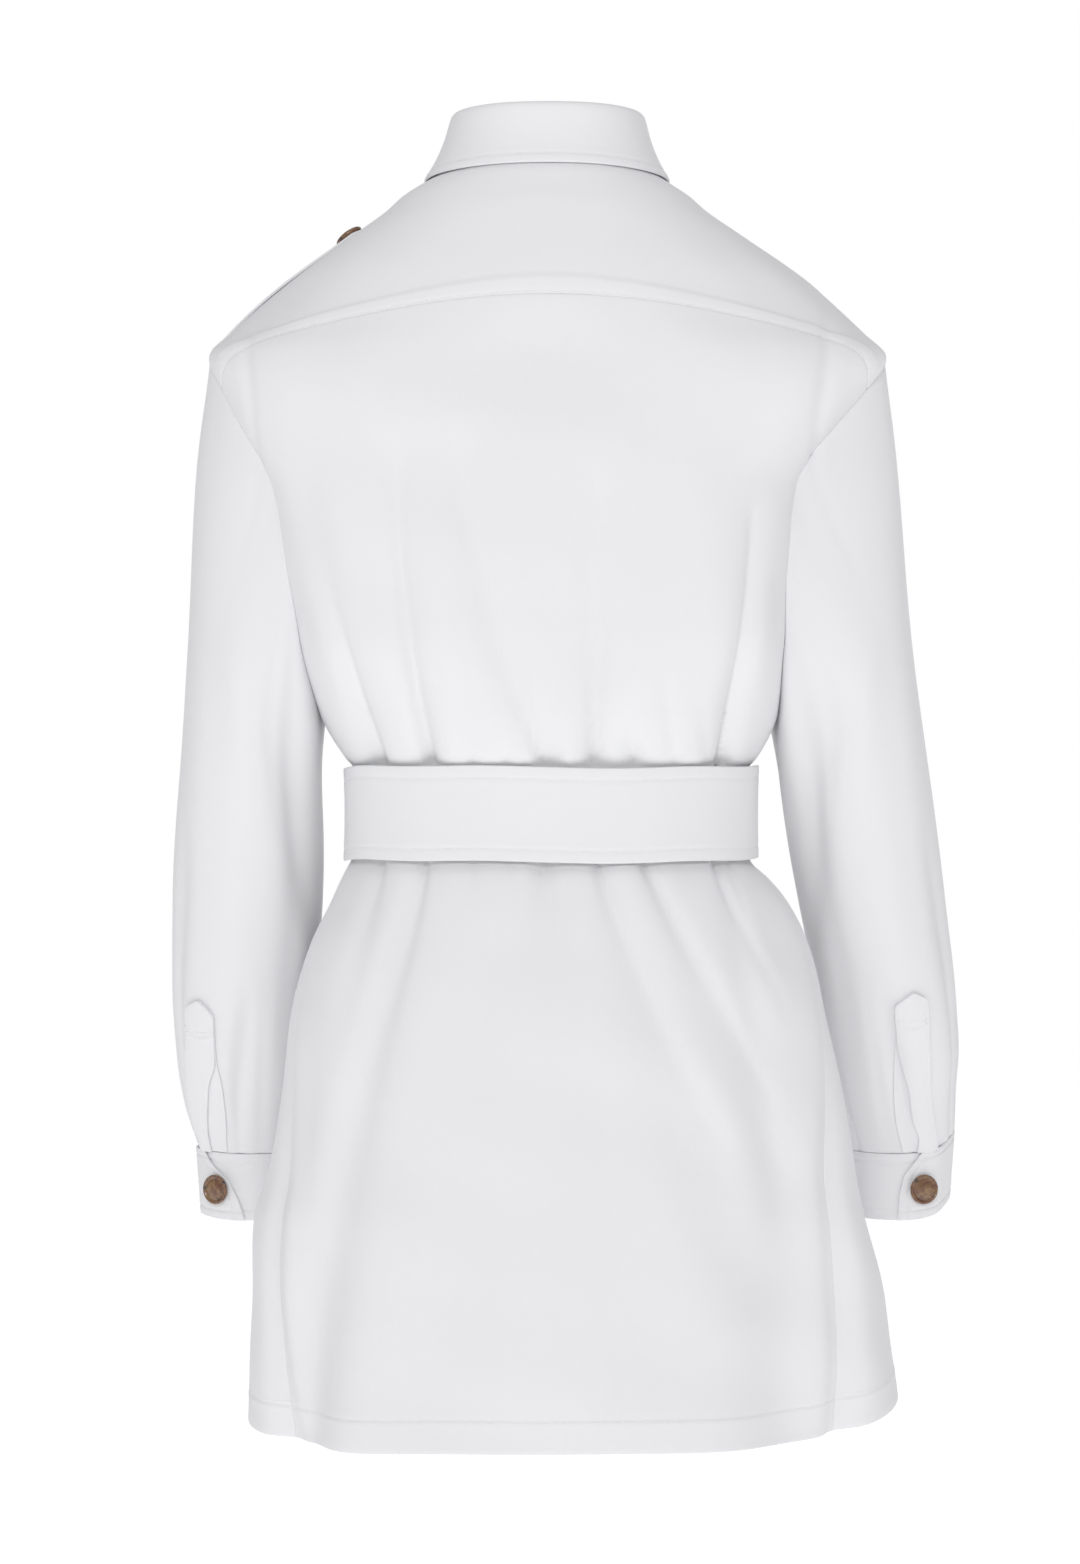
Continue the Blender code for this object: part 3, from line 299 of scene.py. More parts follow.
# Cuff ends by share of the way down the cuff: the turn of the upper layer's end in degrees from
# the outer side to the back. The right cuff rides up on its outer side.
CUFF_ENDS = {
    1: ((0, 0.17, 0.41, 0.73, 1), (38, 48, 70, 82, 88)),
    -1: ((0, 0.10, 0.33, 0.60, 1), (74, 80, 93, 98, 100)),
}
CUFF_BUTTONS = {1: 57, -1: 73}
CUFF_RISE = {1: 3 * MM, -1: 13 * MM}
CUFF_RISE_SPREAD = math.radians(48)
RISE_FROM = 0.8
CUFF_BUTTON_DOWN = 0.55

# The sleeve openings' bands: outer and inner edge of the upper layer and the inner edge of the
# layer below it, from the middle plane at each height
BAND_COLUMNS = "height out inner under"
BANDS = {
    1: table(BAND_COLUMNS, [
        (-517.5, 220.6, 219.6, 219.6), (-523, 228, 213.5, 213.5), (-529, 228.4, 210, 210),
        (-544, 228.4, 210, 210), (-556, 229.4, 210, 209.6), (-575, 229, 215, 206.6),
        (-601, 227, 216.6, 205), (-616.5, 222, 214.6, 205)]),
    -1: table(BAND_COLUMNS, [
        (-512, 229.6, 228.6, 228.6), (-517, 238, 222, 222), (-521, 239, 218.4, 218.4),
        (-540, 240.4, 220.6, 220.6), (-545, 240.8, 221, 220), (-560, 241.8, 225, 218.8),
        (-575, 242.8, 229.6, 219), (-596, 245.6, 233, 221.2), (-609, 248, 236.6, 224.6),
        (-616.5, 249, 236, 226.6)]),
}

# Epaulettes
EPAULETTE_OUTER = -0.110
EPAULETTE_TIP = -0.031
EPAULETTE_HALF_WIDTH = 18 * MM
EPAULETTE_POINT = 6 * MM
EPAULETTE_MIDDLE = {1: -12 * MM, -1: -25 * MM}
EPAULETTE_LIFT = 0.8 * MM
EPAULETTE_BUTTON = -0.039

# Collar
STAND_HEIGHT_BACK = 34 * MM
STAND_HEIGHT_FRONT = 30 * MM
STAND_LEAN = np.array((0.19, 0.10))
STAND_LIFT = 0.1 * MM
FALL_CLOTH = 1.5 * MM
LEAF_EDGE = 0.44
LEAF_DEEP = 0.062
LEAF_FINE = 121
ROLL = np.array([(-0.8, 2.5), (1.4, 4.0), (4.0, 3.2), (5.4, -0.5)]) * MM
FALL_LOWER_BACK = -0.5 * MM
FALL_DROP_FRONT = 76 * MM
FALL_OUT_BACK = 2.1 * MM
FALL_SIDE_DROP = 3.5 * MM
FALL_HOLLOW = 1.8 * MM
FALL_OUT_FRONT = 4.2 * MM
FALL_FRONT_START = math.radians(5)
FALL_POINT_SPREAD = math.radians(16)
NECK_AXIS = np.array((0.0, -0.005))

# Belt: turns are from the middle front, anticlockwise seen from above
BELT_START = math.radians(-8)
BELT_TAIL = math.radians(34)
BELT_OUT = 3.0 * MM
TAIL_OUT = 2.5 * MM
TAIL_STEP = (0.32, 0.22)
BELT_FLARE = 0.6 * MM
BUCKLE_TURN = math.radians(6)
BUCKLE_HALF_WIDTH = 24 * MM
BUCKLE_BAR = 4 * MM
BUCKLE_THICK = 3 * MM
BUCKLE_MARGIN = 3 * MM
BUCKLE_CORNER = 6 * MM
BUCKLE_REST = 0.6 * MM
BUCKLE_SIDES, BAR_SIDES = 160, 20

FRONT_BUTTONS = (-88, -168, -248, -325, -492, -578, -664)
BUTTON_ACROSS = 19 * MM
BUTTON_THICK = 3.6 * MM
BUTTON_SEAT = 0.25 * MM
# A button's profile down its outer side, as shares of its half-width and thickness: a flat dome, a
# groove, a rounded rim and the back
BUTTON_PROFILE = np.array([
    (0, 0.93), (0.25, 0.92), (0.48, 0.87), (0.62, 0.78), (0.70, 0.70), (0.75, 0.72),
    (0.81, 0.88), (0.88, 0.99), (0.95, 0.93), (1.0, 0.70), (0.985, 0.42), (0.90, 0.12),
    (0.80, 0.0), (0.4, 0.0), (0, 0)])
BUTTON_SIDES = 56

# Stage
FLOOR_LEVEL = -1.30
FLOOR_RADIUS = 9.0
FLOOR_RINGS, FLOOR_SIDES = 12, 64
MIDDLE = (0.0, 0.0, -0.40)
KEY_PLACE, KEY_SIZE = (0.2, 3.5, 0.9), 1.1
TOP_PLACE, TOP_SIZE, TOP_SHARE = (0.0, 0.5, 2.0), 1.6, 0.2
FILL_PLACE, FILL_SIZE, FILL_SHARE = (-1.0, -3.2, 0.3), 1.8, 0.5
SURROUNDINGS_COLOUR = (0.97, 0.967, 1.0, 1)
CAMERA_PLACE = (0.005, 2.4, -0.380)
CAMERA_LENS = 87.7

# Distances from an edge, in millimetres, where a panel's grid has its own rows
SEAM_MARKS = (0, 0.4, 0.9, 1.6, 2.8)
YOKE_MARKS = (0, 0.4, 0.9, 1.5, 2.0, 2.6, 4, 6, 8, 9.2, 10, 11, 12.2, 13.4, 15)
HEM_MARKS = (0, 0.25, 0.6, 1.1, 3, 7, 12, 17, 18.6, 19.4, 20, 20.6, 21.4, 23)
FREE_MARKS = (0, 0.2, 0.5, 0.9, 1.6)
TOPSTITCHED = (0, 0.2, 0.5, 0.9, 2, 3.6, 4.8, 5.4, 6.0, 6.6, 7.2, 8.6)
NARROW_STITCHED = (0, 0.2, 0.5, 0.9, 1.4, 1.8, 2.2, 2.8, 4)
YOKE_STITCH = 10 * MM
HEM_STITCH = 20 * MM
EDGE_STITCH = 6 * MM
NARROW_STITCH = 1.8 * MM
BAND_STITCH = 4 * MM
BAND_BAR = 24 * MM
BAND_SIDE_STITCH = 1.7 * MM
BAND_SIDE_MARKS = (0, 0.2, 0.5, 0.9, 1.3, 1.7, 2.2)
BAND_TYPICAL_WIDTH = 19 * MM
BAND_TIP_MARKS = (0, 0.3, 0.7, 1.2, 2, 3, 4, 5, 6.5, 8, 10, 12, 14, 16, 18, 20, 22, 23.2, 24, 24.8,
                  26)
NARROW_MARKS_BAND = (0, 0.2, 0.5, 0.9, 2, 2.8, 3.4, 4.0, 4.6, 5.2, 6.5)
BELT_STITCH = 7.5 * MM
BELT_MARKS = (0, 0.25, 0.6, 1.0, 2.4, 4.6, 6.2, 6.9, 7.5, 8.1, 8.8, 10.4)

# Steps of the grids
GRID_STEP = 3.0 * MM
ACROSS_STEP = 2.2 * MM
ALONG_STEP = 4.2 * MM
COLLAR_STEP = 2.5 * MM
SMALL_STEP = 2.2 * MM

# Stitches
STITCH_PITCH = 3.1 * MM
STITCH_LENGTH = 2.35 * MM
STITCH_RADIUS = 0.24 * MM
STITCH_RINGS = np.array([(-0.5, 0.3, -1.3), (-0.36, 0.85, -0.1), (0, 1, 0.35), (0.36, 0.85, -0.1),
                         (0.5, 0.3, -1.3)])
STITCH_SIDES = 6


def along(columns, name, height):
    """A table's column at a height: cubic pieces whose slope at each row is the harmonic mean of
    the two chords beside it, or nothing where the chords turn."""
    at, value = columns["height"], columns[name]
    chord = np.diff(value) / np.diff(at)
    before, after = chord[:-1], chord[1:]
    total = np.where(before + after == 0, 1, before + after)
    inner = np.where(before * after > 0, 2 * before * after / total, 0)
    slope = np.concatenate((chord[:1], inner, chord[-1:]))
    row = np.clip(np.searchsorted(at, height) - 1, 0, len(at) - 2)
    span = at[row + 1] - at[row]
    t = np.clip((height - at[row]) / span, 0, 1)
    low = (2 * t**3 - 3 * t**2 + 1) * value[row] + (t**3 - 2 * t**2 + t) * span * slope[row]
    high = (3 * t**2 - 2 * t**3) * value[row + 1] + (t**3 - t**2) * span * slope[row + 1]
    return low + high


def smooth(share):
    """0 to 1 with level ends."""
    share = np.clip(share, 0, 1)
    return share * share * (3 - 2 * share)


def unit(vectors):
    return vectors / np.maximum(np.linalg.norm(vectors, axis=-1, keepdims=True), 1e-12)


def signed_power(value, power):
    return np.sign(value) * np.abs(value) ** power


def wrapped(angle):
    return (angle + math.pi) % (2 * math.pi) - math.pi


def back_squareness(height):
    """The back is squarer between the armholes than at the neck and the waist."""
    between = smooth((-0.07 - height) / 0.07) * smooth((height + 0.355) / 0.06)
    return BACK_SQUARENESS + (ARMHOLE_SQUARENESS - BACK_SQUARENESS) * between


def body_sizes(angle, height):
    """Half-width and depth on the side that the angle faces, the widest line's depth, and the
    outline's squareness there."""
    across = np.where(np.cos(angle) >= 0, along(BODY, "left", height), along(BODY, "right", height))
    centre = along(BODY, "centre", height)
    at_back = np.sin(angle) >= 0
    deep = np.where(at_back, along(BODY, "back", height) - centre,
                    along(BODY, "front", height) + centre)
    return across, deep, centre, np.where(at_back, back_squareness(height), FRONT_SQUARENESS)


def angle_at_x(x, height, face):
    """The body angle at a place across, on the back (face 1) or the front (face -1)."""
    guess = np.where(x >= 0, 0.5, math.pi - 0.5) * face
    across, _, _, power = body_sizes(guess, height)
    from_side = np.arccos(np.clip(np.abs(x) / across, 0, 1) ** (1 / power))
    return face * np.where(x >= 0, from_side, math.pi - from_side)


def angle_at_y(y, height):
    """The body angle on the left side at a depth beside the armhole."""
    _, deep, centre, power = body_sizes(np.where(y >= 0, 0.5, -0.5), height)
    return np.sign(y) * np.arcsin(np.clip(np.abs(y - centre) / deep, 0, 1) ** (1 / power))


def side_angle(height):
    """The side seam's angle below the underarm; its table holds thousandths of a radian."""
    return along(SIDE_SEAM, "angle", height)


def fold_push(angle, height):
    """How far folds push the cloth out: each is a bell across its path, leaned to one flank and
    faded at both ends, and slow waves lie between them."""
    radius = sum(along(BODY, name, height) for name in ("left", "right", "back", "front")) / 4
    push = np.zeros_like(height + angle)
    for fold in FOLDS:
        top, bottom = fold["top"] * MM, fold["bottom"] * MM
        fade_up = BELT_FADE if fold["top"] == BELOW_BELT else FREE_FADE
        fade_down = BELT_FADE if fold["bottom"] == ABOVE_BELT else FREE_FADE
        rows = (height < top + fade_up) & (height > bottom - fade_down)
        if not rows.any():
            continue
        a, h, r = angle[rows], height[rows], radius[rows]
        share = np.clip((top - h) / (top - bottom), 0, 1)
        x = ((1 - share) ** 2 * fold["x_top"] + 2 * share * (1 - share) * fold["x_middle"]
             + share**2 * fold["x_bottom"]) * MM
        depth = (fold["depth_top"] + (fold["depth_bottom"] - fold["depth_top"]) * share) * MM
        wide = (fold["wide_top"] + (fold["wide_bottom"] - fold["wide_top"]) * share) * MM
        ends = smooth(1 - (h - top) / fade_up) * smooth(1 - (bottom - h) / fade_down)
        away = wrapped(a - angle_at_x(x, h, fold["face"])) * r / wide
        push[rows] += depth * ends * (1 + fold["lean"] * away) * np.exp(-away**2)
    for side in (0, math.pi):
        seam = SIDE_SEAM_LEFT * side_angle(height) if side == 0 else math.pi - side_angle(height)
        away = wrapped(angle - seam) * radius
        trough = along(SIDE_SEAM, "trough", np.minimum(height, UNDERARM))
        push -= trough * np.exp(-((away / SIDE_TROUGH_WIDTH) ** 2))
    slow = sum(depth * MM * np.sin(turns * angle + 2 * math.pi * rate * height + phase)
               for turns, rate, phase, depth in DRAPE)
    push += slow * smooth((-0.02 - height) / 0.06)
    under_belt = smooth((BELT_TOP - height) / (2 * MM)) * smooth((height - BELT_BOTTOM) / (2 * MM))
    return push * (1 - under_belt)


def body(angle, height, plain=False):
    """A point of the body's outer face: x = across * |cos|^p, y = centre + deep * |sin|^p, pushed
    out along the outline's normal by the folds."""
    angle, height = np.broadcast_arrays(np.asarray(angle, float), np.asarray(height, float))
    across, deep, centre, power = body_sizes(angle, height)
    x = signed_power(np.cos(angle), power) * across
    y = centre + signed_power(np.sin(angle), power) * deep
    if plain:
        return np.stack((x, y, height), axis=-1)
    normal = unit(np.stack((np.cos(angle) / across, np.sin(angle) / deep), axis=-1))
    push = fold_push(np.atleast_1d(angle), np.atleast_1d(height)).reshape(angle.shape)
    return np.stack((x + push * normal[..., 0], y + push * normal[..., 1], height), axis=-1)


def surface_normal(surface, first, second, first_step, second_step):
    """Unit normal of a surface of two parameters, from small steps to both sides."""
    one = surface(first + first_step, second) - surface(first - first_step, second)
    two = surface(first, second + second_step) - surface(first, second - second_step)
    return unit(np.cross(one, two))


def body_with_normal(angle, height, plain=False):
    def surface(a, h):
        return body(a, h, plain)
    return surface(angle, height), surface_normal(surface, angle, height, ANGLE_STEP, HEIGHT_STEP)


def armhole(turn):
    """The armhole's height and depth at a turn round the arm: 0 at the shoulder tip, half a turn
    at the underarm, positive to the back."""
    middle, half = (SHOULDER_TIP + UNDERARM) / 2, (SHOULDER_TIP - UNDERARM) / 2
    return middle + half * np.cos(turn), ARMHOLE_HALF_DEPTH * np.sin(turn)


def armhole_angle(turn):
    height, depth = armhole(turn)
    return angle_at_y(depth, height), height


def neck_height(angle):
    """The neck seam's height: level round the back and dropping at the front."""
    return -NECK_DROP * np.maximum(-np.sin(angle), 0) ** NECK_POWER


def yoke_height(angle, edge_height, edge_angle):
    """The back yoke seam's height: level at the middle, with a long bow and a steep last stretch,
    both by the share of the half-width, which the seam's own height decides."""
    tall = edge_height - YOKE_AT_CENTRE_BACK

    def drop(a):
        lowered = 0
        for _ in range(4):
            height = YOKE_AT_CENTRE_BACK + tall * lowered
            across = np.abs(np.cos(a)) ** back_squareness(height)
            lowered = YOKE_BOW * across**2 + (1 - YOKE_BOW) * across**16
        return lowered

    return YOKE_AT_CENTRE_BACK + tall * drop(angle) / drop(edge_angle)


def hem_lift(angle, height):
    """The right side of the hem stands out and so rides up; the back's corners hang lower."""
    near = np.exp(-((wrapped(angle - math.pi) / HEM_LIFT_SPREAD) ** 2))
    corners = np.sin(2 * angle) ** 2 * (np.sin(angle) > 0)
    share = smooth((HEM_LIFT_START - height) / (BACK_LENGTH + HEM_LIFT_START))
    return (HEM_LIFT_RIGHT * near - HEM_CORNER_DROP * corners) * share


def side_edge(t, face):
    """The panels' side edge, on the back (1) or the front (-1): the side seam up to the underarm,
    then the armhole up to the yoke. Gives angle, height and the share of the way up the armhole."""
    low = np.clip(t / LOWER_SHARE, 0, 1)
    up = np.clip((t - LOWER_SHARE) / (1 - LOWER_SHARE), 0, 1)
    hole_angle, hole_height = armhole_angle(face * (math.pi - (math.pi - YOKE_TURN) * up))
    level = -BACK_LENGTH + LOWER_TALL * low
    below = t < LOWER_SHARE
    return (np.where(below, side_angle(level), hole_angle),
            np.where(below, level, hole_height), up)


def back_place(s, t):
    """Body angle and height of the back panel: straight across between its side edges, and lifted
    towards the yoke seam's bow as it goes up the armhole."""
    start, level, _ = side_edge(t, 1)
    left = start * np.where(t < LOWER_SHARE, SIDE_SEAM_LEFT, 1)
    angle = left + (math.pi - start - left) * s
    edge_angle, edge_top = armhole_angle(YOKE_TURN)
    rise = np.clip((level - UNDERARM) / (edge_top - UNDERARM), 0, 1) ** 1.5
    height = level + (yoke_height(angle, edge_top, start) - edge_top) * rise
    return angle, height + hem_lift(angle, height)


def yoke_place(s, t):
    """Body angle and height of the yoke, from its outer edge to the neck: straight lines between
    the armhole and yoke seam outside and the neck seam inside."""
    near = np.minimum(s, 1 - s)
    turn = -YOKE_TURN + 2 * YOKE_TURN * np.clip(near / YOKE_CORNER, 0, 1)
    hole_angle, hole_height = armhole_angle(turn)
    edge_angle, edge_height = armhole_angle(YOKE_TURN)
    middle = np.clip((near - YOKE_CORNER) / (1 - 2 * YOKE_CORNER), 0, 1)
    seam_angle = edge_angle + (math.pi - 2 * edge_angle) * middle
    in_hole = near < YOKE_CORNER
    outer_angle = np.where(in_hole, hole_angle, seam_angle)
    outer_height = np.where(in_hole, hole_height,
                            yoke_height(seam_angle, edge_height, edge_angle))
    outer_angle = np.where(s > 0.5, math.pi - outer_angle, outer_angle)
    inner_angle = YOKE_NECK_ANGLE + (math.pi - 2 * YOKE_NECK_ANGLE) * s
    return (outer_angle + (inner_angle - outer_angle) * t,
            outer_height + (neck_height(inner_angle) - outer_height) * t)


def front_place(s, t, swing=1):
    """Body angle and height of the left front, from the side to the middle: level rows up to the
    underarm, then a Coons patch between armhole, yoke seam, neck and middle. The side seam's
    swing to the back is a share of its table's."""
    side_at, side_level, up = side_edge(t, -1)
    side_at = side_at * np.where(t < LOWER_SHARE, swing, 1)
    corner_angle, corner_height = armhole_angle(-YOKE_TURN)
    on_seam = np.clip(s / NECK_FROM, 0, 1)
    on_neck = np.clip((s - NECK_FROM) / (1 - NECK_FROM), 0, 1)
    neck_angle = YOKE_NECK_ANGLE + (CENTRE_FRONT - YOKE_NECK_ANGLE) * on_neck
    seam_angle = corner_angle + (YOKE_NECK_ANGLE - corner_angle) * on_seam
    seam_height = corner_height + (neck_height(YOKE_NECK_ANGLE) - corner_height) * on_seam
    top_angle = np.where(s < NECK_FROM, seam_angle, neck_angle)
    top_height = np.where(s < NECK_FROM, seam_height, neck_height(neck_angle))
    middle_height = UNDERARM + (-NECK_DROP - UNDERARM) * up

    def patch(side, middle, bottom, top, low_side, low_middle, high_side, high_middle):
        return ((1 - s) * side + s * middle + (1 - up) * bottom + up * top
                - (1 - s) * (1 - up) * low_side - s * (1 - up) * low_middle
                - (1 - s) * up * high_side - s * up * high_middle)

    angle = patch(side_at, CENTRE_FRONT, CENTRE_FRONT * s, top_angle,
                  0, CENTRE_FRONT, corner_angle, CENTRE_FRONT)
    height = patch(side_level, middle_height, UNDERARM, top_height,
                   UNDERARM, UNDERARM, corner_height, -NECK_DROP)
    below = t < LOWER_SHARE
    angle = np.where(below, side_at + (CENTRE_FRONT - side_at) * s, angle)
    return angle, np.where(below, side_level, height)


def left_front_place(s, t):
    angle, height = front_place(s, t, SIDE_SEAM_LEFT)
    return angle, height + hem_lift(angle, height)


def right_front_place(s, t):
    angle, height = front_place(s, t)
    return math.pi - angle, height + hem_lift(math.pi - angle, height)


def cuff_rise(side, turn):
    """How far a cuff rides up on its outer side."""
    return CUFF_RISE[side] * np.exp(-((wrapped(turn) / CUFF_RISE_SPREAD) ** 2))


def sleeve_plain(side, turn, share):
    """A point of a sleeve's outer face: an oval ring at its height, pulled onto the armhole's
    points near the top: ring(turn, height) + (armhole - ring(turn, top)) * (1 - smooth(share))."""
    columns = SLEEVES[side]
    top, depth = armhole(turn)
    height = top + (CUFF_SEAM - top) * share

    def ring(level):
        middle = (along(columns, "outer", level) + along(columns, "inner", level)) / 2
        half = (along(columns, "outer", level) - along(columns, "inner", level)) / 2
        return np.stack((side * (middle + half * np.cos(turn)),
                         along(columns, "middle", level)
                         + along(columns, "half_depth", level) * np.sin(turn), level), axis=-1)

    angle = angle_at_y(depth, top)
    start = body(angle if side > 0 else math.pi - angle, top)
    pull = 1 - smooth(share / ARMHOLE_BLEND)
    point = ring(height) + (start - ring(top)) * pull[..., None]
    point[..., 2] += cuff_rise(side, turn) * smooth((share - RISE_FROM) / (1 - RISE_FROM))
    return point


def sleeve_folds(turn, share):
    """How far folds push a sleeve's cloth out, each a bell across its path."""
    push = np.zeros_like(share)
    for fold in SLEEVE_FOLDS:
        way = np.clip((share - fold["top"]) / (fold["bottom"] - fold["top"]), 0, 1)
        path = np.radians(fold["turn_top"] + (fold["turn_bottom"] - fold["turn_top"]) * way)
        away = wrapped(turn - path) * SLEEVE_RADIUS / (fold["wide"] * MM)
        inside = (share >= fold["top"]) & (share <= fold["bottom"])
        push += np.where(inside, fold["depth"] * MM * np.sin(math.pi * way) * np.exp(-away**2), 0)
    slow = 0.5 * MM * np.sin(3 * turn + 14 * share) + 0.35 * MM * np.sin(5 * turn - 9 * share + 1)
    return push + slow * smooth(share * 8) * smooth((1 - share) * 8)


def sleeve_normal(side, turn, share, surface):
    def face(a, b):
        return surface(side, a, np.clip(b, 0, 1))
    return -side * surface_normal(face, turn, share, 0.01, 0.002)


def sleeve(side, turn, share):
    """The sleeve's outer face with its folds."""
    turn, share = np.broadcast_arrays(np.asarray(turn, float), np.asarray(share, float))
    normal = sleeve_normal(side, turn, share, sleeve_plain)
    return sleeve_plain(side, turn, share) + normal * sleeve_folds(turn, share)[..., None]


def sleeve_with_normal(side, turn, share):
    return sleeve(side, turn, share), sleeve_normal(side, turn, share, sleeve)


# Grids

def marked(length, low, high, step, typical=None):
    """Shares of the way along lines of the given lengths, one line a row: the marks' distances
    from each end, and between them even steps, of the given size on a line of typical length."""
    length = np.atleast_1d(np.asarray(length, float))[:, None]
    low, high = np.array(low) * MM, np.array(high) * MM
    room = np.minimum(1, 0.45 * length / max(low[-1], high[-1], MM))
    start, end = low[-1] * room / length, 1 - high[-1] * room / length
    typical = length.mean() if typical is None else typical
    count = max(2, round((typical - low[-1] - high[-1]) / step))
    even = start + (end - start) * np.linspace(0, 1, count + 1)[None, 1:-1]
    return np.concatenate((low * room / length, even, 1 - (high * room / length)[:, ::-1]), axis=1)


def steps_between(points, axis):
    return np.linalg.norm(np.diff(points, axis=axis), axis=2)


def lay(surface, across, up):
    """Grid of shares for a surface of two shares: across has a (from, to, low marks, high marks,
    step) for each stretch of the width, and up a (low marks, high marks, step)."""
    even = np.linspace(0, 1, 89)
    rough = surface(*np.meshgrid(even, even))
    reach = np.concatenate((np.zeros((89, 1)), np.cumsum(steps_between(rough, 1), axis=1)), axis=1)
    tall = steps_between(rough, 0).sum(axis=0)
    rows = marked(tall.mean(), *up)[0]

    def across_at(row_shares):
        stretches = []
        for start, end, low, high, step in across:
            begin = reach[:, round(start * 88)]
            length = np.interp(row_shares, even, reach[:, round(end * 88)] - begin)
            typical = (reach[:, round(end * 88)] - begin).mean()
            part = marked(length, low, high, step, typical)
            stretches.append(start + (end - start) * (part if end == 1 else part[:, :-1]))
        return np.concatenate(stretches, axis=1)

    s = across_at(rows)
    return s, marked(np.interp(s[len(rows) // 2], even, tall), *up, tall.mean()).T


def edge_distances(points):
    """Distances along the cloth from the left, right, low and high edge of a grid."""
    across = np.pad(np.cumsum(steps_between(points, 1), axis=1), ((0, 0), (1, 0)))
    up = np.pad(np.cumsum(steps_between(points, 0), axis=0), ((1, 0), (0, 0)))
    return {"left": across, "right": across[:, -1:] - across, "low": up, "high": up[-1:] - up}


def inset(points, axis, row, beside):
    """Moves a grid's end row towards the row beside it by half a seam's opening."""
    points = np.moveaxis(points.copy(), axis, 0)
    points[row] += SEAM_OPEN / 2 * unit(points[beside] - points[row])
    return np.moveaxis(points, 0, axis)


def grid_normal(points):
    """Unit normal of a grid of points from its neighbours, turned away from the grid's middle."""
    normal = unit(np.cross(np.gradient(points, axis=1), np.gradient(points, axis=0)))
    outward = np.sum(normal * (points - points.mean(axis=(0, 1))))
    return normal if outward > 0 else -normal


# Relief of seams, stitched lines and edges, by distance from an edge

def seam_roll(distance):
    return -SEAM_DEPTH * np.exp(-((distance / SEAM_WIDTH) ** 2))


def groove(distance, at, depth=0.32):
    """A line of stitching pulls the cloth in, and it swells a little on both sides."""
    away = distance - at
    swell = np.exp(-((np.abs(away) - 2.4 * MM) / (1.3 * MM)) ** 2)
    return MM * (-depth * np.exp(-((away / (0.75 * MM)) ** 2)) + 0.4 * depth * swell)


def allowance(distance, wide, depth):
    """The seam allowance under the cloth raises it as far as its own edge."""
    return depth * MM * smooth(distance / (2 * MM)) * (1 - smooth((distance - wide) / (2 * MM)))


def rounding(distance, radius):
    """A folded edge: a quarter circle."""
    short = np.clip(radius - distance, 0, radius)
    return radius - np.sqrt(radius**2 - short**2)


def new_object(name, mesh, material):
    mesh.materials.append(material)
    piece = bpy.data.objects.new(name, mesh)
    bpy.context.scene.collection.objects.link(piece)
    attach(piece, ROOT)
    return piece


def closed(number):
    """A grid of corner numbers whose last column joins its first."""
    return np.concatenate((number, number[:, :1]), axis=1)


def quads(number):
    """The quads of a grid of corner numbers."""
    return np.stack((number[:-1, :-1], number[1:, :-1], number[1:, 1:], number[:-1, 1:]),
                    axis=-1).reshape(-1, 4)


# Orders of a quad's corners: from the same corner the other way round, and back from the next one
FORWARD, BACKWARD = (0, 3, 2, 1), (1, 2, 3, 0)


def wall_mesh(name, outer, inner, flat, around=False):
    """A closed wall between two grids of points. flat holds the outer face's places on the flat
    cloth, in metres, which the weave follows. A wall that goes around joins its two ends."""
    rows, columns = outer.shape[:2]
    count = rows * columns
    low, high = np.arange(count).reshape(rows, columns), count + np.arange(count).reshape(rows, -1)
    if around:
        low, high = closed(low), closed(high)
    last = low.shape[1]
    place = np.arange(rows * last).reshape(rows, last)

    def strip(a, b):
        return np.stack((a[:-1], a[1:], b[1:], b[:-1]), axis=1)

    faces = [quads(low)[:, FORWARD], quads(high)[:, BACKWARD],
             strip(high[0], low[0]), strip(low[-1], high[-1])]
    corners = [quads(place)[:, FORWARD], quads(place)[:, BACKWARD],
               strip(place[0], place[0]), strip(place[-1], place[-1])]
    if not around:
        faces += [strip(low[:, 0], high[:, 0]), strip(high[:, -1], low[:, -1])]
        corners += [strip(place[:, 0], place[:, 0]), strip(place[:, -1], place[:, -1])]
    faces, corners = np.concatenate(faces), np.concatenate(corners)
    points = np.concatenate((outer.reshape(-1, 3), inner.reshape(-1, 3)))
    mesh = quad_mesh(name, points, faces)
    weave = mesh.uv_layers.new(name="weave")
    weave.data.foreach_set("uv", flat.reshape(-1, 2)[corners.ravel()].ravel())
    if signed_volume(points, faces) < 0:
        mesh.flip_normals()
    return mesh


def signed_volume(points, quads):
    a, b, c, d = (points[quads[:, k]] for k in range(4))
    return float((np.cross(a, b) * c).sum() + (np.cross(a, c) * d).sum())


def quad_mesh(name, points, faces):
    mesh = bpy.data.meshes.new(name)
    mesh.vertices.add(len(points))
    mesh.vertices.foreach_set("co", np.asarray(points, float).ravel())
    mesh.loops.add(faces.size)
    mesh.loops.foreach_set("vertex_index", faces.ravel())
    mesh.polygons.add(len(faces))
    mesh.polygons.foreach_set("loop_start", np.arange(len(faces)) * 4)
    mesh.update(calc_edges=True)
    mesh.validate()
    mesh.shade_smooth()
    return mesh


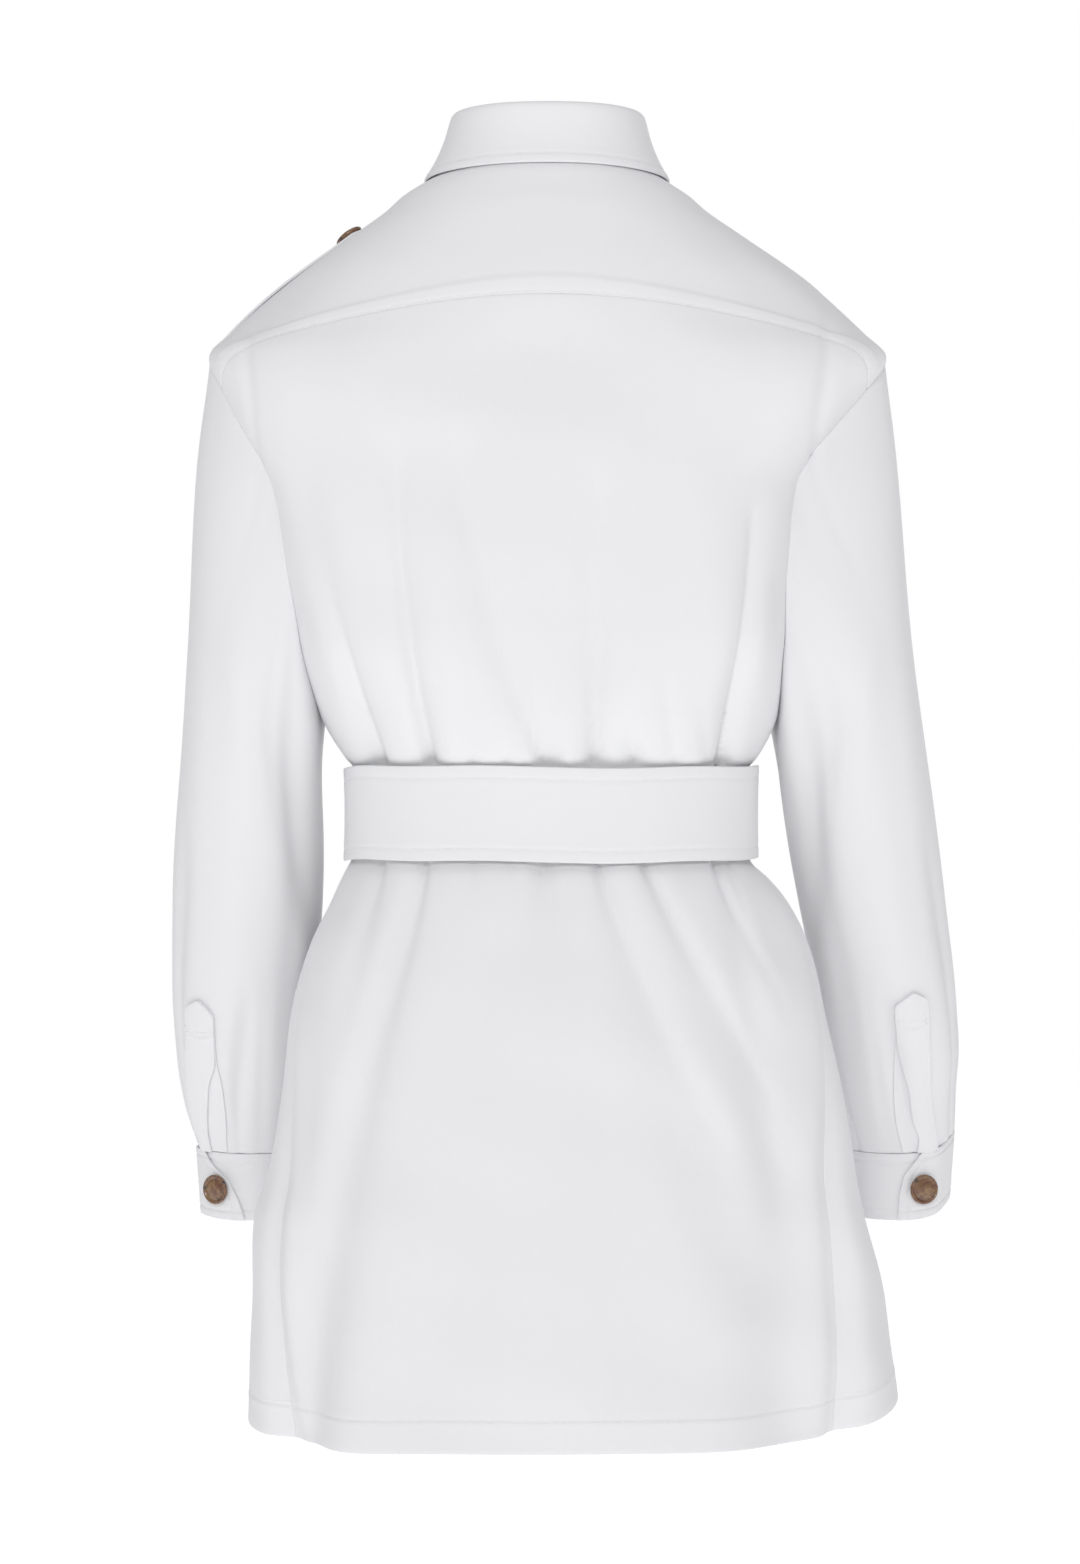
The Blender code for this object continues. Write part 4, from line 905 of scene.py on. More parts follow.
def cloth_piece(name, points, normal, nodes, material, relief=0.0, thick=CLOTH, free=(), seams=(),
                around=False, slot="shell_cloth"):
    """A cloth wall: the grid of points with its relief outside, and the same moved in by the
    thickness inside. Free edges are rounded; seams roll in, but not along the armholes."""
    away = edge_distances(points)
    relief = relief + np.zeros(points.shape[:2])
    below_arms = smooth((UNDERARM - points[..., 2]) / (10 * MM))
    for edge in seams:
        relief = relief + seam_roll(away[edge]) * (below_arms if edge in ("left", "right") else 1)
    radius = EDGE_ROUNDING * thick
    soften = np.zeros(points.shape[:2]) + sum(rounding(away[edge], radius) for edge in free)
    soften = np.minimum(soften, radius)
    outer = points + normal * (relief - soften)[..., None]
    inner = points + normal * (soften - thick)[..., None]
    for edge, axis, row, beside in (("low", 0, 0, 1), ("high", 0, -1, -2),
                                    ("left", 1, 0, 1), ("right", 1, -1, -2)):
        if edge in seams:
            outer, inner = inset(outer, axis, row, beside), inset(inner, axis, row, beside)
    flat = np.stack((away["left"], away["low"]), axis=-1)
    if around:
        closing = away["left"][:, -1:] + np.linalg.norm(points[:, :1] - points[:, -1:], axis=2)
        wide = np.stack((closing, away["low"][:, :1]), axis=-1)
        flat = np.concatenate((flat, wide), axis=1)
    piece = new_object(name, wall_mesh(name, outer, inner, flat, around), material)
    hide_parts(*nodes)
    return outer


# Stitching

def resample(points, normals, pitch):
    """Even places along a line, with the line's normal and direction there."""
    gone = np.concatenate(([0], np.cumsum(np.linalg.norm(np.diff(points, axis=0), axis=1))))
    count = int(gone[-1] / pitch)
    at = (np.arange(count) + 0.5) * gone[-1] / max(count, 1)

    def read(values, where):
        return np.stack([np.interp(where, gone, values[:, k]) for k in range(3)], axis=1)

    ahead = read(points, at + 0.4 * MM) - read(points, at - 0.4 * MM)
    return read(points, at), unit(read(normals, at)), unit(ahead)


def stitching(name, lines):
    """Rows of stitches: each stitch is a short bowed capsule whose ends dip into the cloth, given
    by rings along it (share of its length, share of its radius, height in radii)."""
    place, out, ahead = (np.concatenate(part) for part in zip(
        *(resample(points, normals, STITCH_PITCH) for points, normals in lines)))
    aside = unit(np.cross(ahead, out))
    turn = np.arange(STITCH_SIDES) * 2 * math.pi / STITCH_SIDES
    long, fat, lift = (STITCH_RINGS[:, k][None, :, None, None] for k in range(3))
    round_a = np.cos(turn)[None, None, :, None] * aside[:, None, None, :]
    round_b = np.sin(turn)[None, None, :, None] * out[:, None, None, :]
    points = (place[:, None, None, :] + long * STITCH_LENGTH * ahead[:, None, None, :]
              + STITCH_RADIUS * (fat * (round_a + round_b) + lift * out[:, None, None, :]))
    rings = len(STITCH_RINGS)
    sides = quads(closed(np.arange(rings * STITCH_SIDES).reshape(rings, STITCH_SIDES)))
    caps = [(0, 1, 2, 3), (0, 3, 4, 5)]
    far = (rings - 1) * STITCH_SIDES
    caps += [tuple(far + k for k in reversed(cap)) for cap in caps]
    one = np.concatenate((sides, np.array(caps)))
    faces = (one[None] + (np.arange(len(place)) * rings * STITCH_SIDES)[:, None, None])
    faces = faces.reshape(-1, 4)
    points = points.reshape(-1, 3)
    if signed_volume(points, faces) < 0:
        faces = faces[:, ::-1]
    piece = new_object(name, quad_mesh(name, points, np.ascontiguousarray(faces)), thread())
    return piece


# Materials

def add_node(tree, kind, settings=None, **inputs):
    """A node with its settings and inputs; an input is a value or another node's output."""
    node = tree.nodes.new(kind)
    for key, value in (settings or {}).items():
        setattr(node, key, value)
    for key, value in inputs.items():
        name = key.replace("_", " ")
        numbered = key[0] == "n" and key[1:].isdigit()
        socket = node.inputs[int(key[1:]) if numbered else name]
        if isinstance(value, bpy.types.NodeSocket):
            tree.links.new(value, socket)
        else:
            socket.default_value = value
    return node


def new_material(name, **shader_values):
    material = bpy.data.materials.new(name)
    material.use_nodes = True
    tree = material.node_tree
    shader = tree.nodes["Principled BSDF"]
    for key, value in shader_values.items():
        shader.inputs[key.replace("_", " ")].default_value = value
    return material, tree, shader


def wave(tree, place, axis, pitch):
    """Soft bands across an axis of the flat cloth, one each pitch."""
    scaled = add_node(tree, "ShaderNodeVectorMath", {"operation": "SCALE"}, n0=place)
    scaled.inputs["Scale"].default_value = 2 * math.pi / pitch
    split = add_node(tree, "ShaderNodeSeparateXYZ", n0=scaled.outputs[0])
    return add_node(tree, "ShaderNodeMath", {"operation": "SINE"},
                    n0=split.outputs["XY".index(axis)]).outputs[0]


def noise(tree, coords, scale, detail, roughness, distortion=0.0):
    return add_node(tree, "ShaderNodeTexNoise", Vector=coords.outputs["Object"], Scale=scale,
                    Detail=detail, Roughness=roughness, Distortion=distortion).outputs["Fac"]


def spread(tree, value, limits, name):
    """Maps a value; limits is the range that name, "To" or "From", has in place of 0 to 1."""
    node = add_node(tree, "ShaderNodeMapRange", Value=value)
    for end, limit in zip(("Min", "Max"), limits):
        node.inputs[f"{name} {end}"].default_value = limit
    return node.outputs[0]


def blend(tree, factor, first, second):
    """A mix of two colours; the first may be another node's output."""
    node = add_node(tree, "ShaderNodeMix", {"data_type": "RGBA"})
    tree.links.new(factor, node.inputs["Factor"])
    if isinstance(first, bpy.types.NodeSocket):
        tree.links.new(first, node.inputs[6])
    else:
        node.inputs[6].default_value = (*first, 1)
    node.inputs[7].default_value = (*second, 1)
    return node.outputs[2]


def bump(tree, shader, height, strength, distance):
    node = add_node(tree, "ShaderNodeBump", Strength=strength, Distance=distance, Height=height)
    tree.links.new(node.outputs[0], shader.inputs["Normal"])


def cloth_material(name, colour, pitch, strength):
    """Smooth crepe: a plain weave on the flat cloth's places, a fine pebbled grain and a slow
    change of roughness through the piece."""
    material, tree, shader = new_material(
        name, Sheen_Weight=0.12, Sheen_Roughness=0.45, Specular_IOR_Level=0.25)
    coords = add_node(tree, "ShaderNodeTexCoord")
    warp, weft = (wave(tree, coords.outputs["UV"], axis, pitch) for axis in "XY")
    weave = add_node(tree, "ShaderNodeMath", {"operation": "MULTIPLY"}, n0=warp, n1=weft)
    grain = noise(tree, coords, 1100.0, 2.0, 0.6)
    cloud = noise(tree, coords, 42.0, 3.0, 0.55)
    height = add_node(tree, "ShaderNodeMath", {"operation": "MULTIPLY_ADD"},
                      n0=weave.outputs[0], n1=0.35, n2=grain)
    bump(tree, shader, height.outputs[0], strength, 0.2 * MM)
    dark = tuple(c * 0.985 for c in colour)
    tree.links.new(blend(tree, grain, dark, colour), shader.inputs["Base Color"])
    tree.links.new(spread(tree, cloud, (0.78, 0.92), "To"), shader.inputs["Roughness"])
    return material


def thread_material(name, colour):
    """Sewing thread: fine ridges of its twist."""
    material, tree, shader = new_material(
        name, Sheen_Weight=0.1, Specular_IOR_Level=0.35, Roughness=0.6)
    coords = add_node(tree, "ShaderNodeTexCoord")
    twist = add_node(tree, "ShaderNodeTexWave", {"bands_direction": "DIAGONAL"},
                     Vector=coords.outputs["Object"], Scale=900.0, Distortion=1.5,
                     Detail=1.0).outputs["Fac"]
    bump(tree, shader, twist, 0.4, 0.08 * MM)
    dark = tuple(c * 0.93 for c in colour)
    tree.links.new(blend(tree, twist, dark, colour), shader.inputs["Base Color"])
    return material


def horn_material(name, base, light, dark):
    """Polished imitation horn: broad warm clouds, paler streaks and near-black flecks."""
    material, tree, shader = new_material(
        name, Coat_Weight=0.6, Coat_Roughness=0.08, Specular_IOR_Level=0.5)
    coords = add_node(tree, "ShaderNodeTexCoord")
    cloud = noise(tree, coords, 120.0, 3.0, 0.55, 1.2)
    fleck = noise(tree, coords, 210.0, 2.0, 0.5, 0.6)
    ramp = add_node(tree, "ShaderNodeValToRGB", Fac=cloud)
    for element, at, colour in zip(ramp.color_ramp.elements, (0.38, 0.66), (base, light)):
        element.position, element.color = at, (*colour, 1)
    spots = spread(tree, fleck, (0.58, 0.70), "From")
    tree.links.new(blend(tree, spots, ramp.outputs[0], dark), shader.inputs["Base Color"])
    tree.links.new(spread(tree, cloud, (0.18, 0.34), "To"), shader.inputs["Roughness"])
    bump(tree, shader, fleck, 0.08, 0.2 * MM)
    return material


def shell_cloth():
    cloth = bpy.context.scene.jacket_cloth
    return bpy.data.materials.get("white_crepe") or cloth_material(
        "white_crepe", tuple(cloth.colour), cloth.weave_pitch, cloth.grain)


def belt_cloth():
    cloth = bpy.context.scene.jacket_cloth
    return bpy.data.materials.get("belt_crepe") or cloth_material(
        "belt_crepe", tuple(cloth.belt_colour), cloth.weave_pitch, cloth.grain)


def thread():
    trim = bpy.context.scene.jacket_trim
    return bpy.data.materials.get("sewing_thread") or thread_material(
        "sewing_thread", tuple(trim.thread_colour))


def horn():
    trim = bpy.context.scene.jacket_trim
    return bpy.data.materials.get("mottled_horn") or horn_material(
        "mottled_horn", tuple(trim.horn_base), tuple(trim.horn_light), tuple(trim.horn_dark))


# Pieces

def body_panel(name, node, place, across, up, edges, relief_of, lines_of):
    """A panel of the body: its grid on the body's surface, its relief, and its stitched lines."""
    def surface(s, t):
        return body(*place(s, t), plain=True)

    s, t = lay(surface, across, up)
    points, normal = body_with_normal(*place(s, t))
    away = edge_distances(points)
    outer = cloth_piece(name, points, normal, [node], shell_cloth(), relief_of(away, s), **edges)
    stitch_rows(name, outer, normal, lines_of(away))


def stitch_rows(name, outer, normal, picks):
    """Stitches along picked rows of a grid."""
    return stitching(name + "_stitches", [(outer[pick], normal[pick]) for pick in picks])


def row_number(away, edge, at):
    """The grid's row or column that lies nearest to a distance from an edge."""
    distance = np.median(away[edge], axis=1 if edge in ("low", "high") else 0)
    return int(np.argmin(np.abs(distance - at)))


def row_at(away, edge, at):
    """Picks the whole row or column nearest to a distance from an edge."""
    number = row_number(away, edge, at)
    return (number, slice(None)) if edge in ("low", "high") else (slice(None), number)


def hem_relief(away):
    return groove(away["low"], HEM_STITCH, 0.4) + allowance(away["low"], HEM_STITCH, 0.25)


def build_back():
    """The back, cut in one below the yoke, with its hem turned up."""
    body_panel("back", "back_panel", back_place,
               [(0, 1, SEAM_MARKS, SEAM_MARKS, ACROSS_STEP)], (HEM_MARKS, SEAM_MARKS, ALONG_STEP),
               {"free": ("low",), "seams": ("left", "right", "high")},
               lambda away, _: hem_relief(away), lambda away: [row_at(away, "low", HEM_STITCH)])


def build_yoke():
    """The yoke, whose seam over the back is raised as far as its allowance reaches."""
    def relief(away, s):
        low = away["low"]
        ramp = smooth(low / YOKE_STITCH) * (1 - smooth((low - YOKE_STITCH) / YOKE_STEP))
        over_back = smooth((np.minimum(s, 1 - s) - YOKE_CORNER) / YOKE_STEP_FADE)
        return (YOKE_RAISED * ramp + groove(low, NARROW_STITCH, 0.25)) * over_back

    side = (0, YOKE_CORNER, SEAM_MARKS, (0,), GRID_STEP)
    other = (1 - YOKE_CORNER, 1, (0,), SEAM_MARKS, GRID_STEP)
    body_panel("yoke", "back_yoke", yoke_place,
               [side, (YOKE_CORNER, 1 - YOKE_CORNER, (0,), (0,), GRID_STEP), other],
               (YOKE_MARKS, SEAM_MARKS, GRID_STEP), {"seams": ("low", "high", "left", "right")},
               relief, lambda away: [row_at(away, "low", NARROW_STITCH)])


def build_fronts():
    """Both fronts, with their hem and the stitched edge in the middle."""
    def relief(away, _):
        return hem_relief(away) + groove(away["right"], EDGE_STITCH, 0.2)

    for word, place in (("left", left_front_place), ("right", right_front_place)):
        body_panel(f"{word}_front", f"front_{word}", place,
                   [(0, 1, SEAM_MARKS, TOPSTITCHED, ACROSS_STEP)],
                   (HEM_MARKS, SEAM_MARKS, ALONG_STEP),
                   {"free": ("low", "right"), "seams": ("left", "high")}, relief,
                   lambda away: [row_at(away, "low", HEM_STITCH)])


def build_front_band():
    """The doubled band on the right front's edge, over the left front, stitched down both sides."""
    def place(s, t):
        height = -BACK_LENGTH + (BACK_LENGTH - NECK_DROP - 1 * MM) * t
        return angle_at_x((s - 0.5) * PLACKET_WIDTH, height, -1), height

    s, t = lay(lambda a, b: body(*place(a, b), plain=True),
               [(0, 1, NARROW_MARKS_BAND, NARROW_MARKS_BAND, GRID_STEP)],
               (FREE_MARKS, FREE_MARKS, GRID_STEP))
    points, normal = body_with_normal(*place(s, t))
    points = points + normal * (SEAM_GAP + CLOTH)
    away = edge_distances(points)
    relief = groove(away["left"], BAND_STITCH) + groove(away["right"], BAND_STITCH)
    outer = cloth_piece("front_band", points, normal, ["front_placket"], shell_cloth(), relief,
                        free=("low", "high", "left", "right"))
    stitch_rows("front_band", outer, normal,
                [row_at(away, edge, BAND_STITCH) for edge in ("left", "right")])


def stand_point(angle, share):
    """The collar stand rises from the neck seam and leans in towards the neck."""
    base = body(angle, neck_height(angle))
    leaning = 1 - share[..., None] * STAND_LEAN
    flat = NECK_AXIS + (base[..., :2] - NECK_AXIS) * leaning
    to_front = np.maximum(-np.sin(angle), 0) ** 2
    tall = STAND_HEIGHT_BACK + (STAND_HEIGHT_FRONT - STAND_HEIGHT_BACK) * to_front
    height = base[..., 2] + STAND_LIFT + tall * share
    return np.concatenate((flat, height[..., None]), axis=-1)


def collar_angle(s):
    """The neck seam's angle from the left of the middle front round the back to the right."""
    return CENTRE_FRONT + 2 * math.pi * s


def build_collar_band():
    """The collar's band, standing on the neck seam."""
    def surface(s, t):
        return stand_point(collar_angle(s), t)

    s, t = lay(surface, [(0, 1, FREE_MARKS, FREE_MARKS, COLLAR_STEP)],
               (NARROW_STITCHED, SEAM_MARKS, COLLAR_STEP))
    points = surface(s, t)
    normal = grid_normal(points)
    relief = groove(edge_distances(points)["low"], NARROW_STITCH, 0.2)
    cloth_piece("collar_band", points, normal, ["collar_stand"], shell_cloth(), relief,
                free=("left", "right"), seams=("low", "high"))


def through(rows, at):
    """A smooth curve through rows of points (Catmull-Rom), read at places counted in rows."""
    padded = np.concatenate((2 * rows[:1] - rows[1:2], rows, 2 * rows[-1:] - rows[-2:-1]))
    first = np.clip(np.floor(at).astype(int), 0, len(rows) - 2)
    t = (at - first).reshape(-1, *([1] * (rows.ndim - 1)))
    a, b, c, d = (padded[first + k] for k in range(4))
    return b + 0.5 * t * (c - a + t * (2 * a - 5 * b + 4 * c - d + t * (3 * (b - c) + d - a)))


def leaf_rows(angle):
    """The collar leaf's guiding rows: the roll over the stand, then down to its lower edge, which
    stands off the yoke at the back and lies on the fronts at the points."""
    angle = CENTRE_BACK + (angle - CENTRE_BACK) * (1 - FALL_FRONT_START / math.pi)
    top = stand_point(angle, np.ones_like(angle))
    out = unit(top[:, :2] - NECK_AXIS)
    rows = [np.concatenate((top[:, :2] + out * step, top[:, 2:] + rise), axis=1)
            for step, rise in ROLL]
    to_front = np.maximum(-np.sin(angle), 0) ** NECK_POWER
    lower = (FALL_LOWER_BACK - FALL_DROP_FRONT * to_front
             - FALL_SIDE_DROP * np.cos(angle) ** 2 * (np.sin(angle) > 0))
    turned = angle + np.where(np.cos(angle) >= 0, 1, -1) * FALL_POINT_SPREAD * to_front
    rest = FALL_OUT_BACK + (FALL_OUT_FRONT - FALL_OUT_BACK) * smooth(-lower / (30 * MM))
    base, normal = body_with_normal(turned, lower, plain=True)
    sideways = unit(normal * np.array((1, 1, 0.4)))
    edge = base + rest[:, None] * sideways
    hollow = np.concatenate((out, 0 * out[:, :1]), axis=1) * FALL_HOLLOW
    rows += [rows[len(ROLL) - 1] * (1 - share) + edge * share - hollow * 4 * share * (1 - share)
             for share in (1 / 3, 2 / 3, 1)]
    return np.array(rows)


def build_collar_leaf():
    """The collar's leaf: rows of its guiding curve read at even lengths down from the fold."""
    s = marked(LEAF_EDGE, TOPSTITCHED, TOPSTITCHED, COLLAR_STEP)[0]
    angle = collar_angle(s)
    guide = leaf_rows(angle)
    fine = through(guide, np.linspace(0, len(guide) - 1, LEAF_FINE))
    gone = np.pad(np.cumsum(steps_between(fine, 0), axis=0), ((1, 0), (0, 0)))
    t = marked(gone[-1], FREE_MARKS, TOPSTITCHED, SMALL_STEP, LEAF_DEEP).T
    last = len(fine) - 1
    at = np.stack([np.interp(t[:, k] * gone[-1, k], gone[:, k], np.arange(last + 1.0))
                   for k in range(t.shape[1])], axis=1)
    first = np.clip(np.floor(at).astype(int), 0, last - 1)
    part = (at - first)[..., None]
    column = np.arange(t.shape[1])[None, :]
    points = fine[first, column] * (1 - part) + fine[first + 1, column] * part
    normal = grid_normal(points)
    away = edge_distances(points)
    relief = sum(groove(away[edge], EDGE_STITCH, 0.42) for edge in ("high", "left", "right"))
    relief = relief + 0.25 * MM * smooth(away["high"] / MM) * (away["high"] < EDGE_STITCH)
    outer = cloth_piece("collar_leaf", points, normal, ["collar_fall"], shell_cloth(), relief,
                        thick=FALL_CLOTH, free=("low", "high", "left", "right"))
    low = row_number(away, "high", EDGE_STITCH)
    left, right = (row_number(away, edge, EDGE_STITCH) for edge in ("left", "right"))
    stitch_rows("collar", outer, normal,
                [(low, slice(left, right + 1)), (slice(6, low), left), (slice(6, low), right)])


def build_sleeves():
    """Sleeves, each one closed surface; near the armhole its wall turns to stand on the body's."""
    for side, word in SIDES:
        turns = np.linspace(0, 2 * math.pi, SLEEVE_SIDES + 1)[:-1] + math.pi
        rough_turn, rough_share = np.meshgrid(turns, np.linspace(0, 1, 60))
        tall = steps_between(sleeve_plain(side, rough_turn, rough_share), 0).sum(axis=0)
        share = marked(tall, SEAM_MARKS, SEAM_MARKS, GRID_STEP).T
        turn = turns[None, :] + 0 * share
        points, normal = sleeve_with_normal(side, turn, share)
        top, depth = armhole(turns)
        angle = angle_at_y(depth, top)
        rim, rim_normal = body_with_normal(angle if side > 0 else math.pi - angle, top)
        along_edge = unit(np.roll(rim, -1, axis=0) - np.roll(rim, 1, axis=0))
        into = unit(np.cross(along_edge, rim_normal))
        into *= np.sign(np.sum(into * (rim.mean(axis=0) - rim), axis=1))[:, None]
        turned_back = -np.sum((normal[0] - rim_normal) * into, axis=1)
        mix = smooth(turned_back * 2)[:, None]
        edge_normal = unit(rim_normal * (1 - mix) + normal[0] * mix)
        away = edge_distances(points)
        near = (1 - smooth(away["low"] / HOLE_BLEND))[..., None]
        normal = unit(normal * (1 - near) + edge_normal[None] * near)
        underarm = np.abs(wrapped(turn - math.pi)) * SLEEVE_RADIUS
        relief = seam_roll(underarm) * smooth(away["low"] / (10 * MM))
        cloth_piece(f"{word}_sleeve", points, normal, [f"sleeve_{word}"], shell_cloth(), relief,
                    seams=("high",), around=True)


def cuff_outline(side, turn, down, out):
    """A cuff's point at a turn from the outer side to the back, down from the seam."""
    columns = SLEEVES[side]
    outer = along(columns, "outer", CUFF_SEAM) - CUFF_TAPER * down
    inner = along(columns, "inner", CUFF_SEAM) + CUFF_TAPER * down
    half_depth = along(columns, "half_depth", CUFF_SEAM) - CUFF_TAPER * down
    half = (outer - inner) / 2
    normal = unit(np.stack((np.cos(turn) / half, np.sin(turn) / half_depth), axis=-1))
    x = (outer + inner) / 2 + half * np.cos(turn) + out * normal[..., 0]
    y = along(columns, "middle", CUFF_SEAM) + half_depth * np.sin(turn) + out * normal[..., 1]
    height = CUFF_SEAM - SEAM_GAP / 2 - (CUFF_HEIGHT - SEAM_GAP / 2) * down
    return np.stack((side * x, y, height + cuff_rise(side, turn)), axis=-1)


def cuff_end(side, down):
    """The turn where the cuff's upper layer ends, curving back as it goes down."""
    return np.radians(np.interp(down, *CUFF_ENDS[side]))


def cuff_lap(side, turn):
    """How far out the upper layer lies: nothing, then a step up just before the hidden end."""
    start = cuff_end(side, 0) - CUFF_UNDERLAP - 1.4 * CUFF_STEP
    return CUFF_LAP * smooth((turn - start) / CUFF_STEP)


def cuff_point(side, turn, down, out=0.0):
    return cuff_outline(side, turn, down, cuff_lap(side, turn) + out)


def build_cuffs():
    """Cuffs: each a band once round the wrist, whose upper end laps over its lower one."""
    for side, word in SIDES:
        def surface(s, t):
            start = cuff_end(side, 0) - 2 * math.pi - CUFF_UNDERLAP
            return cuff_point(side, start + (cuff_end(side, t) - start) * s, t)

        s, t = lay(surface, [(0, 1, FREE_MARKS, TOPSTITCHED, SMALL_STEP)],
                   (TOPSTITCHED, TOPSTITCHED, SMALL_STEP))
        points = surface(s, t)
        normal = grid_normal(points)
        away = edge_distances(points)
        relief = sum(groove(away[edge], EDGE_STITCH, 0.4) for edge in ("low", "high", "right"))
        outer = cloth_piece(f"{word}_cuff", points, normal, [f"cuff_{word}"], shell_cloth(),
                            relief, free=("low", "high", "left", "right"))
        right, low, high = (row_number(away, edge, EDGE_STITCH)
                            for edge in ("right", "low", "high"))
        stitch_rows(f"{word}_cuff", outer, normal,
                    [(low, slice(4, right)), (high, slice(4, right)), (slice(low, high), right)])


def sleeve_place_at(side, x, height):
    """A sleeve's turn and share at a distance from the middle plane and a height, on its back."""
    columns = SLEEVES[side]
    outer, inner = along(columns, "outer", height), along(columns, "inner", height)
    turn = np.arccos(np.clip((2 * x - outer - inner) / (outer - inner), -1, 1))
    top = armhole(turn)[0]
    rise = cuff_rise(side, turn)
    share = (height - top) / (CUFF_SEAM - top)
    for _ in range(3):
        lift = rise * smooth((share - RISE_FROM) / (1 - RISE_FROM))
        share = (height - lift - top) / (CUFF_SEAM - top)
    return turn, share


def build_sleeve_bands():
    """The sleeve opening's two bands: the pointed upper one, and the one below that shows beside
    it where the opening gapes."""
    for side, word in SIDES:
        columns = BANDS[side]
        top, bottom = columns["height"][-1], columns["height"][0]

        def place(s, t, first, second):
            height = bottom + (top - bottom) * t
            x = along(columns, first, height) * (1 - s) + along(columns, second, height) * s
            return sleeve_place_at(side, x, height)

        s = marked(BAND_TYPICAL_WIDTH, BAND_SIDE_MARKS, BAND_SIDE_MARKS, 1.4 * MM)[0]
        t = marked(top - bottom, FREE_MARKS, BAND_TIP_MARKS, 2 * MM)[0]
        s, t = np.meshgrid(s, t)
        for name, second, lift, thick, nodes in (
                (f"{word}_sleeve_band", "inner", 1.15 * MM + CLOTH, CLOTH,
                 [f"sleeve_placket_{word}"]),
                (f"{word}_sleeve_underband", "under", 0.1 * MM + UNDERBAND_CLOTH,
                 UNDERBAND_CLOTH, [])):
            points, normal = sleeve_with_normal(side, *place(s, t, "out", second))
            points = points + normal * lift
            away = edge_distances(points)
            relief = (groove(away["left"], BAND_SIDE_STITCH, 0.15)
                      + groove(away["high"], BAND_BAR, 0.7))
            outer = cloth_piece(name, points, normal, nodes, shell_cloth(), relief, thick=thick,
                                free=("low", "high", "left", "right"))
            if nodes:
                left, right = (row_number(away, edge, BAND_SIDE_STITCH)
                               for edge in ("left", "right"))
                bar, up = (row_number(away, "high", at) for at in (BAND_BAR, 2 * MM))
                stitch_rows(name, outer, normal,
                            [(slice(up), left), (slice(bar, up), right), (bar, slice(3, -3))])


def epaulette_angle(side, across, height):
    left = angle_at_y(EPAULETTE_MIDDLE[side] + across, height)
    return left if side > 0 else math.pi - left


def epaulette_half_width(height):
    """Even, then coming to a blunt point at the neck end."""
    to_tip = np.clip((EPAULETTE_TIP - height) / EPAULETTE_POINT, 0, 1)
    return EPAULETTE_HALF_WIDTH * (0.1 + 0.9 * to_tip)


def build_epaulettes():
    """Epaulettes: strips along the tops of the shoulders, at even distances from the front."""
    for side, word in SIDES:
        def place(s, t):
            height = EPAULETTE_OUTER + (EPAULETTE_TIP - EPAULETTE_OUTER) * t
            across = (2 * s - 1) * epaulette_half_width(height)
            return epaulette_angle(side, across, height), height

        s = marked(2 * EPAULETTE_HALF_WIDTH, NARROW_MARKS_BAND, NARROW_MARKS_BAND, 2 * MM)[0]
        t = marked(0.16, (0, 1, 2, 3), (0, 0.3, 0.6, 1.2, 2, 3, 4, 5, 6.5, 8, 10), 2.2 * MM)[0]
        s, t = np.meshgrid(s, t)
        points, normal = body_with_normal(*place(s, t))
        points = points + normal * (EPAULETTE_LIFT + CLOTH)
        away = edge_distances(points)
        relief = groove(away["left"], BAND_STITCH) + groove(away["right"], BAND_STITCH)
        outer = cloth_piece(f"{word}_epaulette", points, normal, [f"epaulette_{word}"],
                            shell_cloth(), relief, free=("high", "left", "right"))
        stitch_rows(f"{word}_epaulette", outer, normal,
                    [row_at(away, edge, BAND_STITCH) for edge in ("left", "right")])


def belt_out(turn):
    """The belt's outer face from the body: the lap steps out before it meets the start."""
    before, length = TAIL_STEP
    lap = TAIL_OUT * smooth((turn - (2 * math.pi + BELT_START - before)) / length)
    return BELT_OUT + BELT_CLOTH + lap


def belt_point(turn, height):
    """The stiff belt round the waist: its edges stand out a little from the hollow waist and wave
    by less than a millimetre."""
    middle = (BELT_TOP + BELT_BOTTOM) / 2
    flare = ((height - middle) / (BELT_TOP - middle)) ** 2
    point, normal = body_with_normal(CENTRE_FRONT + turn, height, plain=True)
    wave_up = 0.7 * MM * np.sin(3 * turn + 0.6) + 0.5 * MM * np.sin(7 * turn)
    wave_out = 0.2 * MM * np.sin(5 * turn + 40 * height) + 0.125 * MM * np.sin(13 * turn)
    point = point + normal * (belt_out(turn) + wave_out + BELT_FLARE * flare)[..., None]
    point[..., 2] += wave_up * np.clip(flare, 0, 1)
    return point


def build_belt():
    """The belt: once round the waist and over its own start, stitched along both edges."""
    def place(s, t):
        turn = BELT_START + (2 * math.pi + BELT_TAIL - BELT_START) * s
        return turn, BELT_BOTTOM + (BELT_TOP - BELT_BOTTOM) * t

    s, t = lay(lambda a, b: belt_point(*place(a, b)),
               [(0, 1, FREE_MARKS, TOPSTITCHED, 2.6 * MM)], (BELT_MARKS, BELT_MARKS, 2.4 * MM))
    points = belt_point(*place(s, t))
    normal = grid_normal(points)
    away = edge_distances(points)
    relief = sum(groove(away[edge], BELT_STITCH, 0.3) for edge in ("low", "high"))
    relief = relief + groove(away["right"], EDGE_STITCH, 0.4)
    outer = cloth_piece("waist_belt", points, normal, ["belt"], belt_cloth(), relief,
                        thick=BELT_CLOTH, free=("low", "high", "left", "right"),
                        slot="belt_cloth")
    piece = stitch_rows("belt", outer, normal,
                        [row_at(away, edge, BELT_STITCH) for edge in ("low", "high")])


